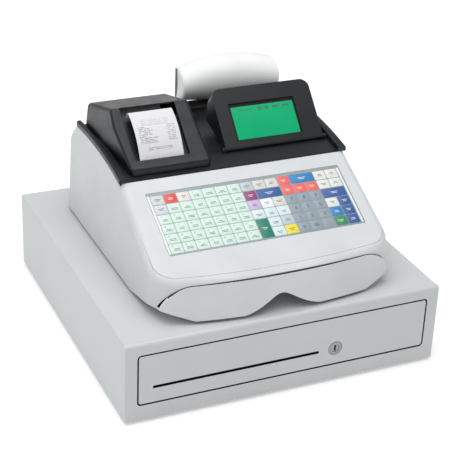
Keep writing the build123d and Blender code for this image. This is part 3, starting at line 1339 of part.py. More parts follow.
PLATEN_AT = (PLATEN_Y, PLATEN_Z)
IDLER_TURN = -75.0
PINION_TURN = -30.0
IDLER_AT = polar(
    PLATEN_AT, MODULE * (PLATEN_TEETH + IDLER_TEETH) / 2 + GEAR_PLAY, IDLER_TURN)
PINION_AT = polar(
    IDLER_AT, MODULE * (IDLER_TEETH + PINION_TEETH) / 2 + GEAR_PLAY, PINION_TURN)
IDLER_PHASE = IDLER_TURN + 180 + 180 / IDLER_TEETH
IDLER_STEP = 360 / IDLER_TEETH
IDLER_LEAD = (IDLER_PHASE - PINION_TURN) % IDLER_STEP
PINION_PHASE = (
    PINION_TURN + 180 - IDLER_LEAD * IDLER_TEETH / PINION_TEETH + 180 / PINION_TEETH
)

with BuildPart() as printer_frame:
    # Two side plates on legs, the roll's bucket, feet and the motor's bracket.
    for start in (LEFT_WALL, RIGHT_WALL):
        with BuildSketch(Plane.YZ.offset(start)):
            with BuildLine():
                Polyline(
                    (LEG_Y[0], FLOOR_TOP), (LEG_Y[1], FLOOR_TOP), (LEG_Y[1], ROLL_Z - 36),
                    (ROLL_Y + 31, ROLL_Z - 32), (ROLL_Y + 31, ROLL_Z + 8),
                    (PLATEN_Y + 14, PLATEN_Z + 9), (PLATEN_Y - 4, PLATEN_Z + 9),
                    (PLATEN_Y - 11, PLATEN_Z + 4), (PLATEN_Y - 11, PLATEN_Z - 14),
                    (LEG_Y[0], PLATEN_Z - 38), close=True,
                )
            make_face()
            with Locations(PLATEN_AT):
                Circle(PLATEN_SHAFT_R + RUNNING_FIT, mode=Mode.SUBTRACT)
        extrude(amount=FRAME_PLATE)
    for side, start in ((-1, LEFT_WALL), (1, RIGHT_WALL + FRAME_PLATE)):
        block(sorted((start, start + side * 8.0)), LEG_Y, (FLOOR_TOP, FLOOR_TOP + FRAME_PLATE))
    with BuildSketch(Plane.YZ.offset(PRINTER_X)):
        with BuildLine():
            inner = CenterArc((ROLL_Y, ROLL_Z), ROLL_R + BUCKET_GAP, 234, 110)
            outer = CenterArc((ROLL_Y, ROLL_Z), ROLL_R + BUCKET_GAP + FRAME_PLATE, 234, 110)
            Line(inner @ 0, outer @ 0)
            Line(inner @ 1, outer @ 1)
        make_face()
    extrude(amount=WALL_IN, both=True)
    bracket_y = (PINION_AT[0] - 12.0, PINION_AT[0] + 13.0)
    bracket_z = (PINION_AT[1] - 17.0, PINION_AT[1] + 12.0)
    block((RIGHT_WALL + FRAME_PLATE, MOTOR_X), bracket_y, (bracket_z[0], bracket_z[0] + 3.0))
    block((MOTOR_X - MOTOR_PLATE + 0.8, MOTOR_X), bracket_y, bracket_z)
    rod("x", (MOTOR_X, *PINION_AT), 2.5, 4 * MOTOR_PLATE, mode=Mode.SUBTRACT)
    idler_pin_l = GEAR_W + 1.2
    rod("x", (RIGHT_WALL + FRAME_PLATE + idler_pin_l / 2, *IDLER_AT), PIN_R + 0.5, idler_pin_l)
printer_frame.part.label = "printer_frame"
export_step(printer_frame.part, "parts/printer_frame.step")

HEAD_GAP = 0.3
with BuildPart() as thermal_head:
    # Ceramic print head on its carrier, in front of the platen.
    face_y = PLATEN_Y - PLATEN_R - 2 * HEAD_GAP - PAPER_T
    block((LEFT_WALL + FRAME_PLATE, RIGHT_WALL), (face_y - 2.2, face_y),
          (PLATEN_Z - 10, PLATEN_Z + 7.0))
thermal_head.part.label = "thermal_head"
export_step(thermal_head.part, "parts/thermal_head.step")

with BuildPart() as platen_roller:
    # Rubber roller on a steel shaft that turns in the side plates.
    shaft_start = LEFT_WALL - 1.5
    shaft_end = GEAR_X + GEAR_W
    rod("x", ((shaft_start + shaft_end) / 2, *PLATEN_AT), PLATEN_SHAFT_R,
        shaft_end - shaft_start)
    rod("x", (PRINTER_X, *PLATEN_AT), PLATEN_R, PAPER_W + 1.0)
platen_roller.part.label = "platen_roller"
export_step(platen_roller.part, "parts/platen_roller.step")

with BuildPart() as platen_gear:
    with BuildSketch(Plane.YZ.offset(GEAR_X)):
        with Locations(Location((*PLATEN_AT, 0), (0, 0, IDLER_TURN))):
            add(gear_outline(PLATEN_TEETH))
            Circle(PLATEN_SHAFT_R, mode=Mode.SUBTRACT)
    extrude(amount=GEAR_W)
platen_gear.part.label = "platen_gear"
export_step(platen_gear.part, "parts/platen_gear.step")

with BuildPart() as idler_gear:
    with BuildSketch(Plane.YZ.offset(GEAR_X)):
        with Locations(Location((*IDLER_AT, 0), (0, 0, IDLER_PHASE))):
            add(gear_outline(IDLER_TEETH))
            Circle(PIN_R + 0.5 + RUNNING_FIT, mode=Mode.SUBTRACT)
    extrude(amount=GEAR_W)
idler_gear.part.label = "idler_gear"
export_step(idler_gear.part, "parts/idler_gear.step")

PINION_SHAFT_R = 1.5
with BuildPart() as motor_pinion:
    # Pinion and the motor shaft that carries it.
    with BuildSketch(Plane.YZ.offset(GEAR_X)):
        with Locations(Location((*PINION_AT, 0), (0, 0, PINION_PHASE))):
            add(gear_outline(PINION_TEETH))
    extrude(amount=GEAR_W)
    rod("x", (MOTOR_X + 1.0, *PINION_AT), PINION_SHAFT_R, 10.0)
motor_pinion.part.label = "motor_pinion"
export_step(motor_pinion.part, "parts/motor_pinion.step")

with BuildPart() as printer_motor:
    rod("x", (MOTOR_X + MOTOR_L / 2, *PINION_AT), MOTOR_R, MOTOR_L)
    rod("x", (MOTOR_X, *PINION_AT), PINION_SHAFT_R + RUNNING_FIT, 14.0, mode=Mode.SUBTRACT)
printer_motor.part.label = "printer_motor"
export_step(printer_motor.part, "parts/printer_motor.step")

with BuildPart() as paper_roll:
    # Wound paper on a hollow core.
    rod("x", (PRINTER_X, ROLL_Y, ROLL_Z), ROLL_R, PAPER_W)
    rod("x", (PRINTER_X, ROLL_Y, ROLL_Z), CORE_R, 2 * PAPER_W, mode=Mode.SUBTRACT)
paper_roll.part.label = "paper_roll"
export_step(paper_roll.part, "parts/paper_roll.step")

# The paper's path in side view: tangent from the roll to the platen, round its front, and up.
PAPER_OFF = 0.3 + PAPER_T / 2
ROLL_PATH_R = ROLL_R + PAPER_OFF
PLATEN_PATH_R = PLATEN_R + PAPER_OFF
WEB_TOP = (SLOT_FRONT + 2.9, PLATEN_Z + 13.0)
STRIP_START = (WEB_TOP[0], WEB_TOP[1] + 0.4)
between = (ROLL_Y - PLATEN_Y, ROLL_Z - PLATEN_Z)
tangent_turn = math.degrees(
    math.atan2(between[1], between[0])
    + math.acos((ROLL_PATH_R - PLATEN_PATH_R) / math.hypot(*between))
)
rising = (WEB_TOP[0] - PLATEN_Y, WEB_TOP[1] - PLATEN_Z)
leave_turn = math.degrees(
    math.atan2(rising[1], rising[0]) + math.acos(PLATEN_PATH_R / math.hypot(*rising))
)
with BuildPart() as paper_web:
    with BuildSketch(Plane.YZ.offset(PRINTER_X)):
        with BuildLine():
            on_roll = polar((ROLL_Y, ROLL_Z), ROLL_PATH_R, tangent_turn + 180)
            wrap = CenterArc(
                PLATEN_AT, PLATEN_PATH_R, leave_turn, tangent_turn + 180 - leave_turn,
            )
            Line(wrap @ 1, on_roll)
            Line(wrap @ 0, WEB_TOP)
        trace(line_width=PAPER_T)
    extrude(amount=PAPER_W / 2, both=True)
paper_web.part.label = "paper_web"
export_step(paper_web.part, "parts/paper_web.step")

CURL_R = 6.0
CURL_TURN = 115.0
HANG_R = 82.0
HANG_TURN = 44.0
with BuildPart() as paper_strip:
    # The printed receipt, curling over the slot and hanging above the trough.
    with BuildSketch(Plane.YZ.offset(PRINTER_X)):
        with BuildLine():
            rise = Line(STRIP_START, (STRIP_START[0], CREST_Z - 10.0))
            curl = JernArc(rise @ 1, (0, 1), CURL_R, CURL_TURN)
            JernArc(curl @ 1, curl % 1, HANG_R, HANG_TURN)
        trace(line_width=PAPER_T)
    extrude(amount=PAPER_W / 2, both=True)
paper_strip.part.label = "paper_strip"
export_step(paper_strip.part, "parts/paper_strip.step")

# ---------------------------------------------------------------- operator display

PANEL_ANGLE = math.radians(PANEL_TILT)
PANEL_UP = (math.cos(PANEL_ANGLE), math.sin(PANEL_ANGLE))
PANEL_OUTWARD = (-math.sin(PANEL_ANGLE), math.cos(PANEL_ANGLE))
AXIS_AT = (PANEL_HINGE_Y, PANEL_AXIS_Z)


def on_panel(up, out):
    """A side-view point, measured along the panel and out of it from the hinge axis."""
    return (
        AXIS_AT[0] + up * PANEL_UP[0] + out * PANEL_OUTWARD[0],
        AXIS_AT[1] + up * PANEL_UP[1] + out * PANEL_OUTWARD[1],
    )


FACE_AT = on_panel(0, PANEL_HINGE_R)
FACE_PLANE = Plane(
    origin=(PANEL_X, *FACE_AT), x_dir=(1, 0, 0), z_dir=(0, *PANEL_OUTWARD),
)


def panel_form(inset):
    """The display housing as one wedge, round at its hinge."""
    with BuildPart() as form:
        with BuildSketch(Plane.YZ.offset(PANEL_X)):
            with BuildLine():
                Polyline(
                    FACE_AT, on_panel(PANEL_L, PANEL_HINGE_R),
                    on_panel(PANEL_L, PANEL_HINGE_R - PANEL_EDGE),
                    (AXIS_AT[0] + PANEL_BACK, AXIS_AT[1] + PANEL_BACK_RISE),
                    (AXIS_AT[0], AXIS_AT[1] - PANEL_HINGE_R), AXIS_AT, close=True,
                )
            make_face()
            with Locations(AXIS_AT):
                Circle(PANEL_HINGE_R)
            if inset > 0:
                offset(amount=-inset)
        extrude(amount=PANEL_W / 2 - inset, both=True)
        with BuildSketch(FACE_PLANE):
            add(panel_face(inset))
        extrude(amount=BODY_W, both=True, mode=Mode.INTERSECT)
    return form.part


def panel_face(inset):
    """The display housing seen square on, with its upper corners round."""
    with BuildSketch() as face:
        with Locations((0, -PANEL_HINGE_R - 1)):
            Rectangle(PANEL_W - 2 * inset, PANEL_L + PANEL_HINGE_R + 1 - inset,
                      align=(Align.CENTER, Align.MIN))
        fillet(face.vertices().group_by(Axis.Y)[-1], radius=PANEL_CORNER_R - inset)
    return face.sketch


WINDOW_AT = (WINDOW_X - PANEL_X, WINDOW_UP + WINDOW_L / 2)
with BuildPart() as display_housing:
    # Front frame of the operator display, with the window and the hinge bores.
    add(panel_form(0))
    add(panel_form(PANEL_WALL), mode=Mode.SUBTRACT)
    with BuildSketch(FACE_PLANE.offset(-PANEL_SPLIT)):
        Rectangle(2 * PANEL_W, 4 * PANEL_L)
    extrude(amount=2 * PANEL_SPLIT, mode=Mode.INTERSECT)
    with BuildSketch(FACE_PLANE.offset(1)):
        with Locations(WINDOW_AT):
            RectangleRounded(WINDOW_W, WINDOW_L, 2.0)
    extrude(amount=-2 * PANEL_WALL, mode=Mode.SUBTRACT)
    for start, side in ((PANEL_IN, 1), (PANEL_OUT, -1)):
        rod("x", (start, PANEL_HINGE_Y, PANEL_AXIS_Z), PIN_R + RUNNING_FIT, 2 * PIN_L + 2.0,
            mode=Mode.SUBTRACT)
display_housing.part.label = "display_housing"
export_step(display_housing.part, "parts/display_housing.step")

with BuildPart() as display_back:
    # Wedge-shaped back shell behind the front frame.
    add(panel_form(0))
    add(panel_form(PANEL_WALL), mode=Mode.SUBTRACT)
    with BuildSketch(FACE_PLANE.offset(-PANEL_SPLIT)):
        Rectangle(2 * PANEL_W, 4 * PANEL_L)
    extrude(amount=2 * PANEL_SPLIT, mode=Mode.SUBTRACT)
display_back.part.label = "display_back"
export_step(display_back.part, "parts/display_back.step")

with BuildPart() as display_glass:
    # Liquid crystal panel behind the window.
    with BuildSketch(FACE_PLANE.offset(-PANEL_WALL)):
        with Locations(WINDOW_AT):
            Rectangle(WINDOW_W + 6.0, WINDOW_L + 6.0)
    extrude(amount=-GLASS_T)
display_glass.part.label = "display_glass"
export_step(display_glass.part, "parts/display_glass.step")

# ---------------------------------------------------------------- customer display

HEAD_FRONT = HEAD_Y - HEAD_D / 2
HEAD_REAR = HEAD_Y + HEAD_D / 2
HEAD_END_Z = HEAD_BOTTOM + HEAD_END_LIFT + HEAD_END_H / 2
POST_HALF = SWIVEL_Y - CONSOLE_BACK - SEAM
POST_FOOT = 60.0             # drawn from this far above the case's bottom


def head_section(x, middle, half, inset):
    """The head's section at one place: flat back and round front."""
    with BuildSketch(Plane.YZ.offset(x)) as section:
        with BuildLine():
            front = EllipticalCenterArc(
                (HEAD_REAR - inset, middle), HEAD_D - 2 * inset, half - inset, 90,
                arc_size=180,
            )
            Line(front @ 1, front @ 0)
        make_face()
    return section.sketch


def head_form(inset):
    """The customer display's head: crowned above and below, round at the front."""
    reach = HEAD_W / 2 - inset
    sections = (
        head_section(HEAD_X - reach, HEAD_END_Z, HEAD_END_H / 2, inset),
        head_section(HEAD_X, HEAD_Z, HEAD_H / 2, inset),
        head_section(HEAD_X + reach, HEAD_END_Z, HEAD_END_H / 2, inset),
    )
    with BuildPart() as form:
        loft(sections)
        if inset == 0:
            ends = form.faces().filter_by(Axis.X)
            rounded = ends.edges().filter_by(lambda edge: edge.center().Y < HEAD_REAR - inset - 1)
            fillet(rounded, radius=HEAD_ROUND)
    return form.part


def head_back():
    """The region of the head's black back: deep at its middle, thin above and below."""
    with BuildPart() as region:
        with BuildSketch(Plane.YZ):
            with BuildLine():
                split = ThreePointArc(
                    (HEAD_REAR - BEZEL_EDGE, HEAD_BOTTOM - 1),
                    (HEAD_REAR - BEZEL_D, HEAD_Z),
                    (HEAD_REAR - BEZEL_EDGE, HEAD_BOTTOM + HEAD_H + 1),
                )
                Polyline(
                    split @ 1, (2 * HEAD_REAR, HEAD_BOTTOM + HEAD_H + 1),
                    (2 * HEAD_REAR, HEAD_BOTTOM - 1), split @ 0,
                )
            make_face()
        extrude(amount=BODY_W, both=True)
    return region.part


with BuildPart() as post_base:
    # Hollow pedestal on the curved back of the case, with a boss for the stem.
    low_z = CASE_Z + POST_FOOT
    block((HEAD_X - POST_W / 2, HEAD_X + POST_W / 2),
          (SWIVEL_Y - POST_HALF, SWIVEL_Y + POST_HALF), (low_z, POST_TOP))
    fillet(post_base.edges().filter_by(Axis.Z), radius=POST_ROUND)
    fillet(post_base.faces().sort_by(Axis.Z)[-1].edges().sort_by(Axis.Y)[-1], radius=POST_ROUND)
    block((HEAD_X - POST_W / 2 + POST_WALL, HEAD_X + POST_W / 2 - POST_WALL),
          (SWIVEL_Y - POST_HALF + POST_WALL, SWIVEL_Y + POST_HALF - POST_WALL),
          (low_z, POST_TOP - POST_WALL), mode=Mode.SUBTRACT)
    rod("z", (HEAD_X, SWIVEL_Y, (low_z + POST_TOP) / 2), STEM_R + POST_WALL, POST_TOP - low_z)
    add(case_form(0, 0), mode=Mode.SUBTRACT)
    rod("z", (HEAD_X, SWIVEL_Y, POST_TOP), STEM_R + RUNNING_FIT, 2 * STEM_DEPTH,
        mode=Mode.SUBTRACT)
post_base.part.label = "post_base"
export_step(post_base.part, "parts/post_base.step")

with BuildPart() as head_stem:
    # Turning stem: it sits in the post, rests there on its collar and carries the head.
    low_z = POST_TOP - STEM_DEPTH + SEAM
    high_z = HEAD_BOTTOM + HEAD_WALL + STEM_HEAD
    rod("z", (HEAD_X, SWIVEL_Y, (low_z + high_z) / 2), STEM_R, high_z - low_z)
    rod("z", (HEAD_X, SWIVEL_Y, POST_TOP + SEAM + COLLAR_H / 2), STEM_R + COLLAR_RIM, COLLAR_H)
head_stem.part.label = "head_stem"
export_step(head_stem.part, "parts/head_stem.step")

with BuildPart() as head_shell:
    # White front shell of the customer display, seen by the operator.
    add(head_form(0))
    add(head_form(HEAD_WALL), mode=Mode.SUBTRACT)
    add(head_back(), mode=Mode.SUBTRACT)
    rod("z", (HEAD_X, SWIVEL_Y, HEAD_BOTTOM), STEM_R, 3 * STEM_HEAD, mode=Mode.SUBTRACT)
head_shell.part.label = "head_shell"
export_step(head_shell.part, "parts/head_shell.step")

LENS_W = 122.0
LENS_H = 32.0
LENS_T = 2.0
LENS_RIM = 3.0               # behind the edge of its window
with BuildPart() as head_bezel:
    # Black back half, with the window that faces the customer.
    add(head_form(0))
    add(head_form(HEAD_WALL), mode=Mode.SUBTRACT)
    add(head_back(), mode=Mode.INTERSECT)
    block((HEAD_X - LENS_W / 2, HEAD_X + LENS_W / 2), (HEAD_REAR - 2 * HEAD_WALL, HEAD_REAR + 1),
          (HEAD_END_Z - LENS_H / 2, HEAD_END_Z + LENS_H / 2), mode=Mode.SUBTRACT)
head_bezel.part.label = "head_bezel"
export_step(head_bezel.part, "parts/head_bezel.step")

with BuildPart() as head_lens:
    block((HEAD_X - LENS_W / 2, HEAD_X + LENS_W / 2), (HEAD_REAR - HEAD_WALL, HEAD_REAR - 0.4),
          (HEAD_END_Z - LENS_H / 2, HEAD_END_Z + LENS_H / 2))
    block((HEAD_X - LENS_W / 2 - LENS_RIM, HEAD_X + LENS_W / 2 + LENS_RIM),
          (HEAD_REAR - HEAD_WALL - LENS_T, HEAD_REAR - HEAD_WALL),
          (HEAD_END_Z - LENS_H / 2 - LENS_RIM, HEAD_END_Z + LENS_H / 2 + LENS_RIM))
head_lens.part.label = "head_lens"
export_step(head_lens.part, "parts/head_lens.step")
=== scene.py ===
import math

import bpy
import bmesh
from bpy.props import FloatProperty, FloatVectorProperty, PointerProperty
from mathutils import Matrix, Vector


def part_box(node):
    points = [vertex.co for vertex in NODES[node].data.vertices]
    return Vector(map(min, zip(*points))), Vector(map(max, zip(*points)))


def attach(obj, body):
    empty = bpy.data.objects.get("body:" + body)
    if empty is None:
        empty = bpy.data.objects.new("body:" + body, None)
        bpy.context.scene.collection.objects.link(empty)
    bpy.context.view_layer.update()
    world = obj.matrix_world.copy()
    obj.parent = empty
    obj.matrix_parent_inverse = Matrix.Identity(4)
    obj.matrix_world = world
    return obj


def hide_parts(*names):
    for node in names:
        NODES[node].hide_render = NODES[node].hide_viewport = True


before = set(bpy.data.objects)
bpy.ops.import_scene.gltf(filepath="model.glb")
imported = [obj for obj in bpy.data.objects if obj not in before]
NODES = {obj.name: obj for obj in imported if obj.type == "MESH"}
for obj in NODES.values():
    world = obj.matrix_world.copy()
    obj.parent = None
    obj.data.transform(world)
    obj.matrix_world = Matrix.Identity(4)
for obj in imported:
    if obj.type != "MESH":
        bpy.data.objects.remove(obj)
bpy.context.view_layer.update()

bl_info = {
    "name": "Ticket register",
    "version": (1, 0, 0),
    "blender": (4, 5, 0),
    "location": "3D View > Sidebar > Register",
    "description": "Finishes a till with a receipt printer, flat keyboard and cash drawer",
    "category": "Object",
}

MM = 0.001
ROOT = "cabinet_and_register"

# Places that fitted details share with the body, in metres
KEY_ORIGIN = Vector((0.0, -0.1408, 0.175))
KEY_SLOPE = math.radians(27.2)
PANEL_HINGE = Vector((0.0, -0.0085, 0.2357))
PANEL_TILT = math.radians(46.0)
LOCK_AT = Vector((0.065, -0.2075, 0.0475))


# ---- colours and nodes

def linear(code):
    """A hex colour as linear red, green, blue and alpha."""
    channels = [int(code[i:i + 2], 16) / 255 for i in (1, 3, 5)]
    curve = [c / 12.92 if c <= 0.04045 else ((c + 0.055) / 1.055) ** 2.4 for c in channels]
    return (*curve, 1.0)


def add(tree, kind, inputs=None, **settings):
    """One shader node with its settings, its socket values and its links."""
    made = tree.nodes.new("ShaderNode" + kind)
    for key, value in settings.items():
        setattr(made, key, value)
    for key, value in (inputs or {}).items():
        socket = made.inputs[key]
        if isinstance(value, bpy.types.NodeSocket):
            tree.links.new(value, socket)
        else:
            socket.default_value = value
    return made


def surface(name, colour, **sockets):
    """A new material: its tree, its principled shader and the object coordinates."""
    made = bpy.data.materials.new(name)
    made.use_nodes = True
    tree = made.node_tree
    shader = tree.nodes["Principled BSDF"]
    shader.inputs["Base Color"].default_value = colour
    for key, value in sockets.items():
        shader.inputs[key.replace("_", " ")].default_value = value
    place = add(tree, "TexCoord").outputs["Object"]
    return made, tree, shader, place


def emboss(tree, shader, height, strength, depth_mm):
    """A bump from a node's height, with its depth in millimetres."""
    bump = add(tree, "Bump", {"Height": height, "Strength": strength, "Distance": depth_mm * MM})
    tree.links.new(bump.outputs["Normal"], shader.inputs["Normal"])


def grain(tree, shader, place, size_mm, strength, depth_mm=0.05):
    """A fine noise bump: the grain's size and depth in millimetres, and how strong it is."""
    noise = add(tree, "TexNoise", {"Vector": place, "Scale": 1 / (size_mm * MM), "Detail": 2.0})
    emboss(tree, shader, noise.outputs["Fac"], strength, depth_mm)


def vary(tree, shader, place, size_mm, dark, light, socket="Base Color"):
    """Slow change of a colour, or of a grey as roughness, over the surface."""
    noise = add(tree, "TexNoise", {"Vector": place, "Scale": 1 / (size_mm * MM), "Detail": 3.0})
    ramp = add(tree, "ValToRGB", {"Fac": noise.outputs["Fac"]})
    # Noise keeps to its middle values, so the ramp spans only those.
    for element, position, colour in zip(ramp.color_ramp.elements, (0.3, 0.7), (dark, light)):
        element.position = position
        element.color = colour
    tree.links.new(ramp.outputs["Color"], shader.inputs[socket])
    return ramp


def grey(value):
    """A plain value in the form of a colour."""
    return (value, value, value, 1.0)


def tone(colour, factor):
    """A colour made lighter or darker by a factor."""
    return (*[min(1.0, c * factor) for c in colour[:3]], 1.0)


# ---- settings

def colour_setting(name, description, code):
    """A colour that a user may change."""
    return FloatVectorProperty(name=name, description=description, subtype="COLOR", size=4,
                               min=0, max=1, default=linear(code))


def length_setting(name, description, default, **limits):
    """A length that a user may change, in metres."""
    return FloatProperty(
        name=name, description=description, unit="LENGTH", default=default, **limits)


class RegisterColours(bpy.types.PropertyGroup):
    cabinet: colour_setting(
        "Cabinet", "Powder coat of the cabinet and the drawer front", "#D0D3D4")
    case: colour_setting(
        "Case", "Grey-white moulded plastic of the register's body", "#D8DBDD")
    console: colour_setting(
        "Console", "Blue-black moulded plastic of the printer and displays", "#12161C")
    screen: colour_setting(
        "Screen", "Backlit green of the operator's display", "#0E9C68")
    paper: colour_setting("Paper", "Thermal paper", "#E1E1E5")


class RegisterKeyboard(bpy.types.PropertyGroup):
    left: length_setting("Left edge", "Left edge of the first column of keys", -0.1232)
    low: length_setting("Lower edge", "Lower edge of the last row, up the slope", 0.0016)
    pitch_x: length_setting(
        "Column pitch", "From one column of keys to the next", 0.01664, min=0.005)
    pitch_y: length_setting("Row pitch", "From one row of keys to the next", 0.0143, min=0.005)
    gap: length_setting("Gap", "Bare film between two keys", 0.001, min=0)
    rise: length_setting("Rise", "Height of an embossed key above the film", 0.00035, min=0)
    corner: length_setting("Corner", "Corner radius of a key", 0.0012, min=0)


class RegisterStage(bpy.types.PropertyGroup):
    camera: FloatVectorProperty(
        name="Camera", description="Where the camera stands",
        subtype="XYZ", unit="LENGTH", size=3, default=(-0.6466, -1.4226, 0.9261))
    yaw: FloatProperty(
        name="Yaw", description="Camera's turn to the right of straight ahead",
        subtype="ANGLE", default=0.434)
    pitch: FloatProperty(
        name="Pitch", description="Camera's angle below the horizon",
        subtype="ANGLE", default=0.476)
    roll: FloatProperty(
        name="Roll", description="Camera's turn about its own axis",
        subtype="ANGLE", default=0.043)
    lens: FloatProperty(
        name="Lens", description="Focal length in millimetres on a 36 mm sensor",
        min=10, default=106.95)
    key_light: FloatProperty(
        name="Top light", description="Power of the large lamp overhead, in watts",
        min=0, default=20.5)
    fill_light: FloatProperty(
        name="Side light", description="Power of the lamp on the left, in watts",
        min=0, default=1.2)
    sky: FloatProperty(
        name="Sky", description="Strength of the even light from all round",
        min=0, default=0.5)


# ---- finishes

def powder_coat(name, colour):
    # Polyester powder baked on steel: an even satin skin with a shallow orange peel.
    made, tree, shader, place = surface(name, colour, Roughness=0.42)
    shader.inputs["Coat Weight"].default_value = 0.12
    shader.inputs["Coat Roughness"].default_value = 0.35
    vary(tree, shader, place, 90.0, tone(colour, 0.975), tone(colour, 1.015))
    # The peel of about 0.8 mm is drawn at 1.4 mm, so that it still shows at this size.
    grain(tree, shader, place, 1.4, 0.10, 0.06)
    return made


def moulded_abs(name, colour, roughness, peel, gloss=0.5):
    # Injection-moulded ABS from a spark-eroded tool: matt grain that breaks up highlights.
    made, tree, shader, place = surface(
        name, colour, Roughness=roughness, IOR=1.53, Specular_IOR_Level=gloss)
    vary(tree, shader, place, 60.0, tone(colour, 0.96), tone(colour, 1.04))
    vary(tree, shader, place, 14.0, grey(roughness - 0.05), grey(roughness + 0.05), "Roughness")
    # A real grain of 0.3 mm is drawn at 0.9 mm.
    grain(tree, shader, place, 0.9, peel)
    return made


def printed_film(name, colour):
    # Screen ink under clear polyester film: flat colour with a soft sheen and faint mottle.
    made, tree, shader, place = surface(name, colour, Roughness=0.36, IOR=1.57)
    vary(tree, shader, place, 5.0, tone(colour, 0.95), tone(colour, 1.05))
    grain(tree, shader, place, 1.8, 0.06)
    return made


def zinc_steel(name):
    # Zinc-plated sheet: cool grey metal with large soft crystals in its gloss.
    made, tree, shader, place = surface(name, linear("#B4B7BA"), Metallic=1.0, Roughness=0.34)
    cells = add(tree, "TexVoronoi", {"Vector": place, "Scale": 1 / (7 * MM)})
    ramp = add(tree, "ValToRGB", {"Fac": cells.outputs["Color"]})
    ramp.color_ramp.elements[0].color = grey(0.26)
    ramp.color_ramp.elements[1].color = grey(0.42)
    tree.links.new(ramp.outputs["Color"], shader.inputs["Roughness"])
    vary(tree, shader, place, 9.0, linear("#A9ACB0"), linear("#BCBFC2"))
    return made


def nickel(name):
    # Polished nickel plate on brass: mirror gloss with fine turning marks.
    made, tree, shader, place = surface(name, linear("#8F9092"), Metallic=1.0, Roughness=0.16)
    centred = add(tree, "Mapping", {"Vector": place, "Location": tuple(-LOCK_AT)})
    rings = add(tree, "TexWave", {
        "Vector": centred.outputs["Vector"], "Scale": 1 / (3.2 * MM)},
        wave_type="RINGS", rings_direction="Y")
    emboss(tree, shader, rings.outputs["Fac"], 0.08, 0.02)
    vary(tree, shader, place, 3.0, grey(0.12), grey(0.22), "Roughness")
    return made


def moulded_rubber(name):
    # Black rubber: very matt, slightly dusty where it is handled.
    made, tree, shader, place = surface(name, linear("#26262A"), Roughness=0.85)
    vary(tree, shader, place, 4.0, linear("#202023"), linear("#303034"))
    grain(tree, shader, place, 0.8, 0.25)
    return made


def acetal(name):
    # Natural acetal: waxy off-white that lets a little light in.
    made, tree, shader, place = surface(name, linear("#E4E1D6"), Roughness=0.38)
    shader.inputs["Subsurface Weight"].default_value = 0.15
    shader.inputs["Subsurface Radius"].default_value = (1.0 * MM, 0.9 * MM, 0.7 * MM)
    vary(tree, shader, place, 4.0, linear("#DDD9CC"), linear("#E9E6DC"))
    grain(tree, shader, place, 1.2, 0.08)
    return made


def circuit_board(name):
    # Solder mask on glass fibre: deep green with lighter copper tracks below it.
    made, tree, shader, place = surface(name, linear("#175C34"), Roughness=0.3)
    tracks = add(tree, "TexBrick", {
        "Vector": place, "Scale": 1 / (9 * MM), "Color1": linear("#175C34"),
        "Color2": linear("#1B683C"), "Mortar": linear("#2C8A52"), "Mortar Size": 0.03})
    tree.links.new(tracks.outputs["Color"], shader.inputs["Base Color"])
    grain(tree, shader, place, 1.0, 0.1)
    return made


def wound_copper(name):
    # Lacquered copper wire, wound in close layers.
    made, tree, shader, place = surface(name, linear("#A65A33"), Metallic=0.9, Roughness=0.35)
    wires = add(tree, "TexWave", {"Vector": place, "Scale": 1 / (3.0 * MM)},
                wave_type="BANDS", bands_direction="Z")
    emboss(tree, shader, wires.outputs["Fac"], 0.5, 0.3)
    vary(tree, shader, place, 6.0, linear("#96502C"), linear("#B5683C"))
    return made


def thermal_paper(name, colour):
    # Coated thermal paper: bright, smooth and slightly glossy, with faint fibres.
    made, tree, shader, place = surface(name, colour, Roughness=0.55)
    vary(tree, shader, place, 6.0, tone(colour, 0.97), tone(colour, 1.02))
    grain(tree, shader, place, 0.7, 0.08, 0.02)
    return made


# Thermal print on the receipt, in millimetres. Each block is its left and right edge, its
# low and high edge, and the depth of its ink. Labels have no shared right edge: each row
# of them ends at a place of its own, from LABEL_END to LABEL_SPREAD further on.
LETTER_PITCH = 1.0
LETTER_HEIGHT = 1.0
ROW_PITCH = 1.7
INKED_SHARE = 0.8
LABEL_END = -106.0
LABEL_SPREAD = 16.0
LABELS = (-114.0, None, 260.5, 276.5, 0.5)
SUMS = (-78.0, -66.5, 260.5, 276.5, 0.38)
HEADING = (-108.0, -73.0, 276.5, 282.5, 0.2)
TOTAL = (-106.0, -75.0, 252.5, 256.0, 0.5)
GREETING = (-112.0, -69.0, 245.5, 248.0, 0.16)

# A Mix node has an A, a B and a Result for each kind of value; these are the colour ones.
MIX_A, MIX_B, MIX_RESULT = 6, 7, 2


def band(tree, value, low, high):
    """One where a value lies between two limits, and nothing elsewhere."""
    above = add(tree, "Math", {0: value, 1: low}, operation="GREATER_THAN")
    below = add(tree, "Math", {0: value, 1: high}, operation="LESS_THAN")
    return add(tree, "Math", {0: above.outputs[0], 1: below.outputs[0]},
               operation="MULTIPLY").outputs[0]


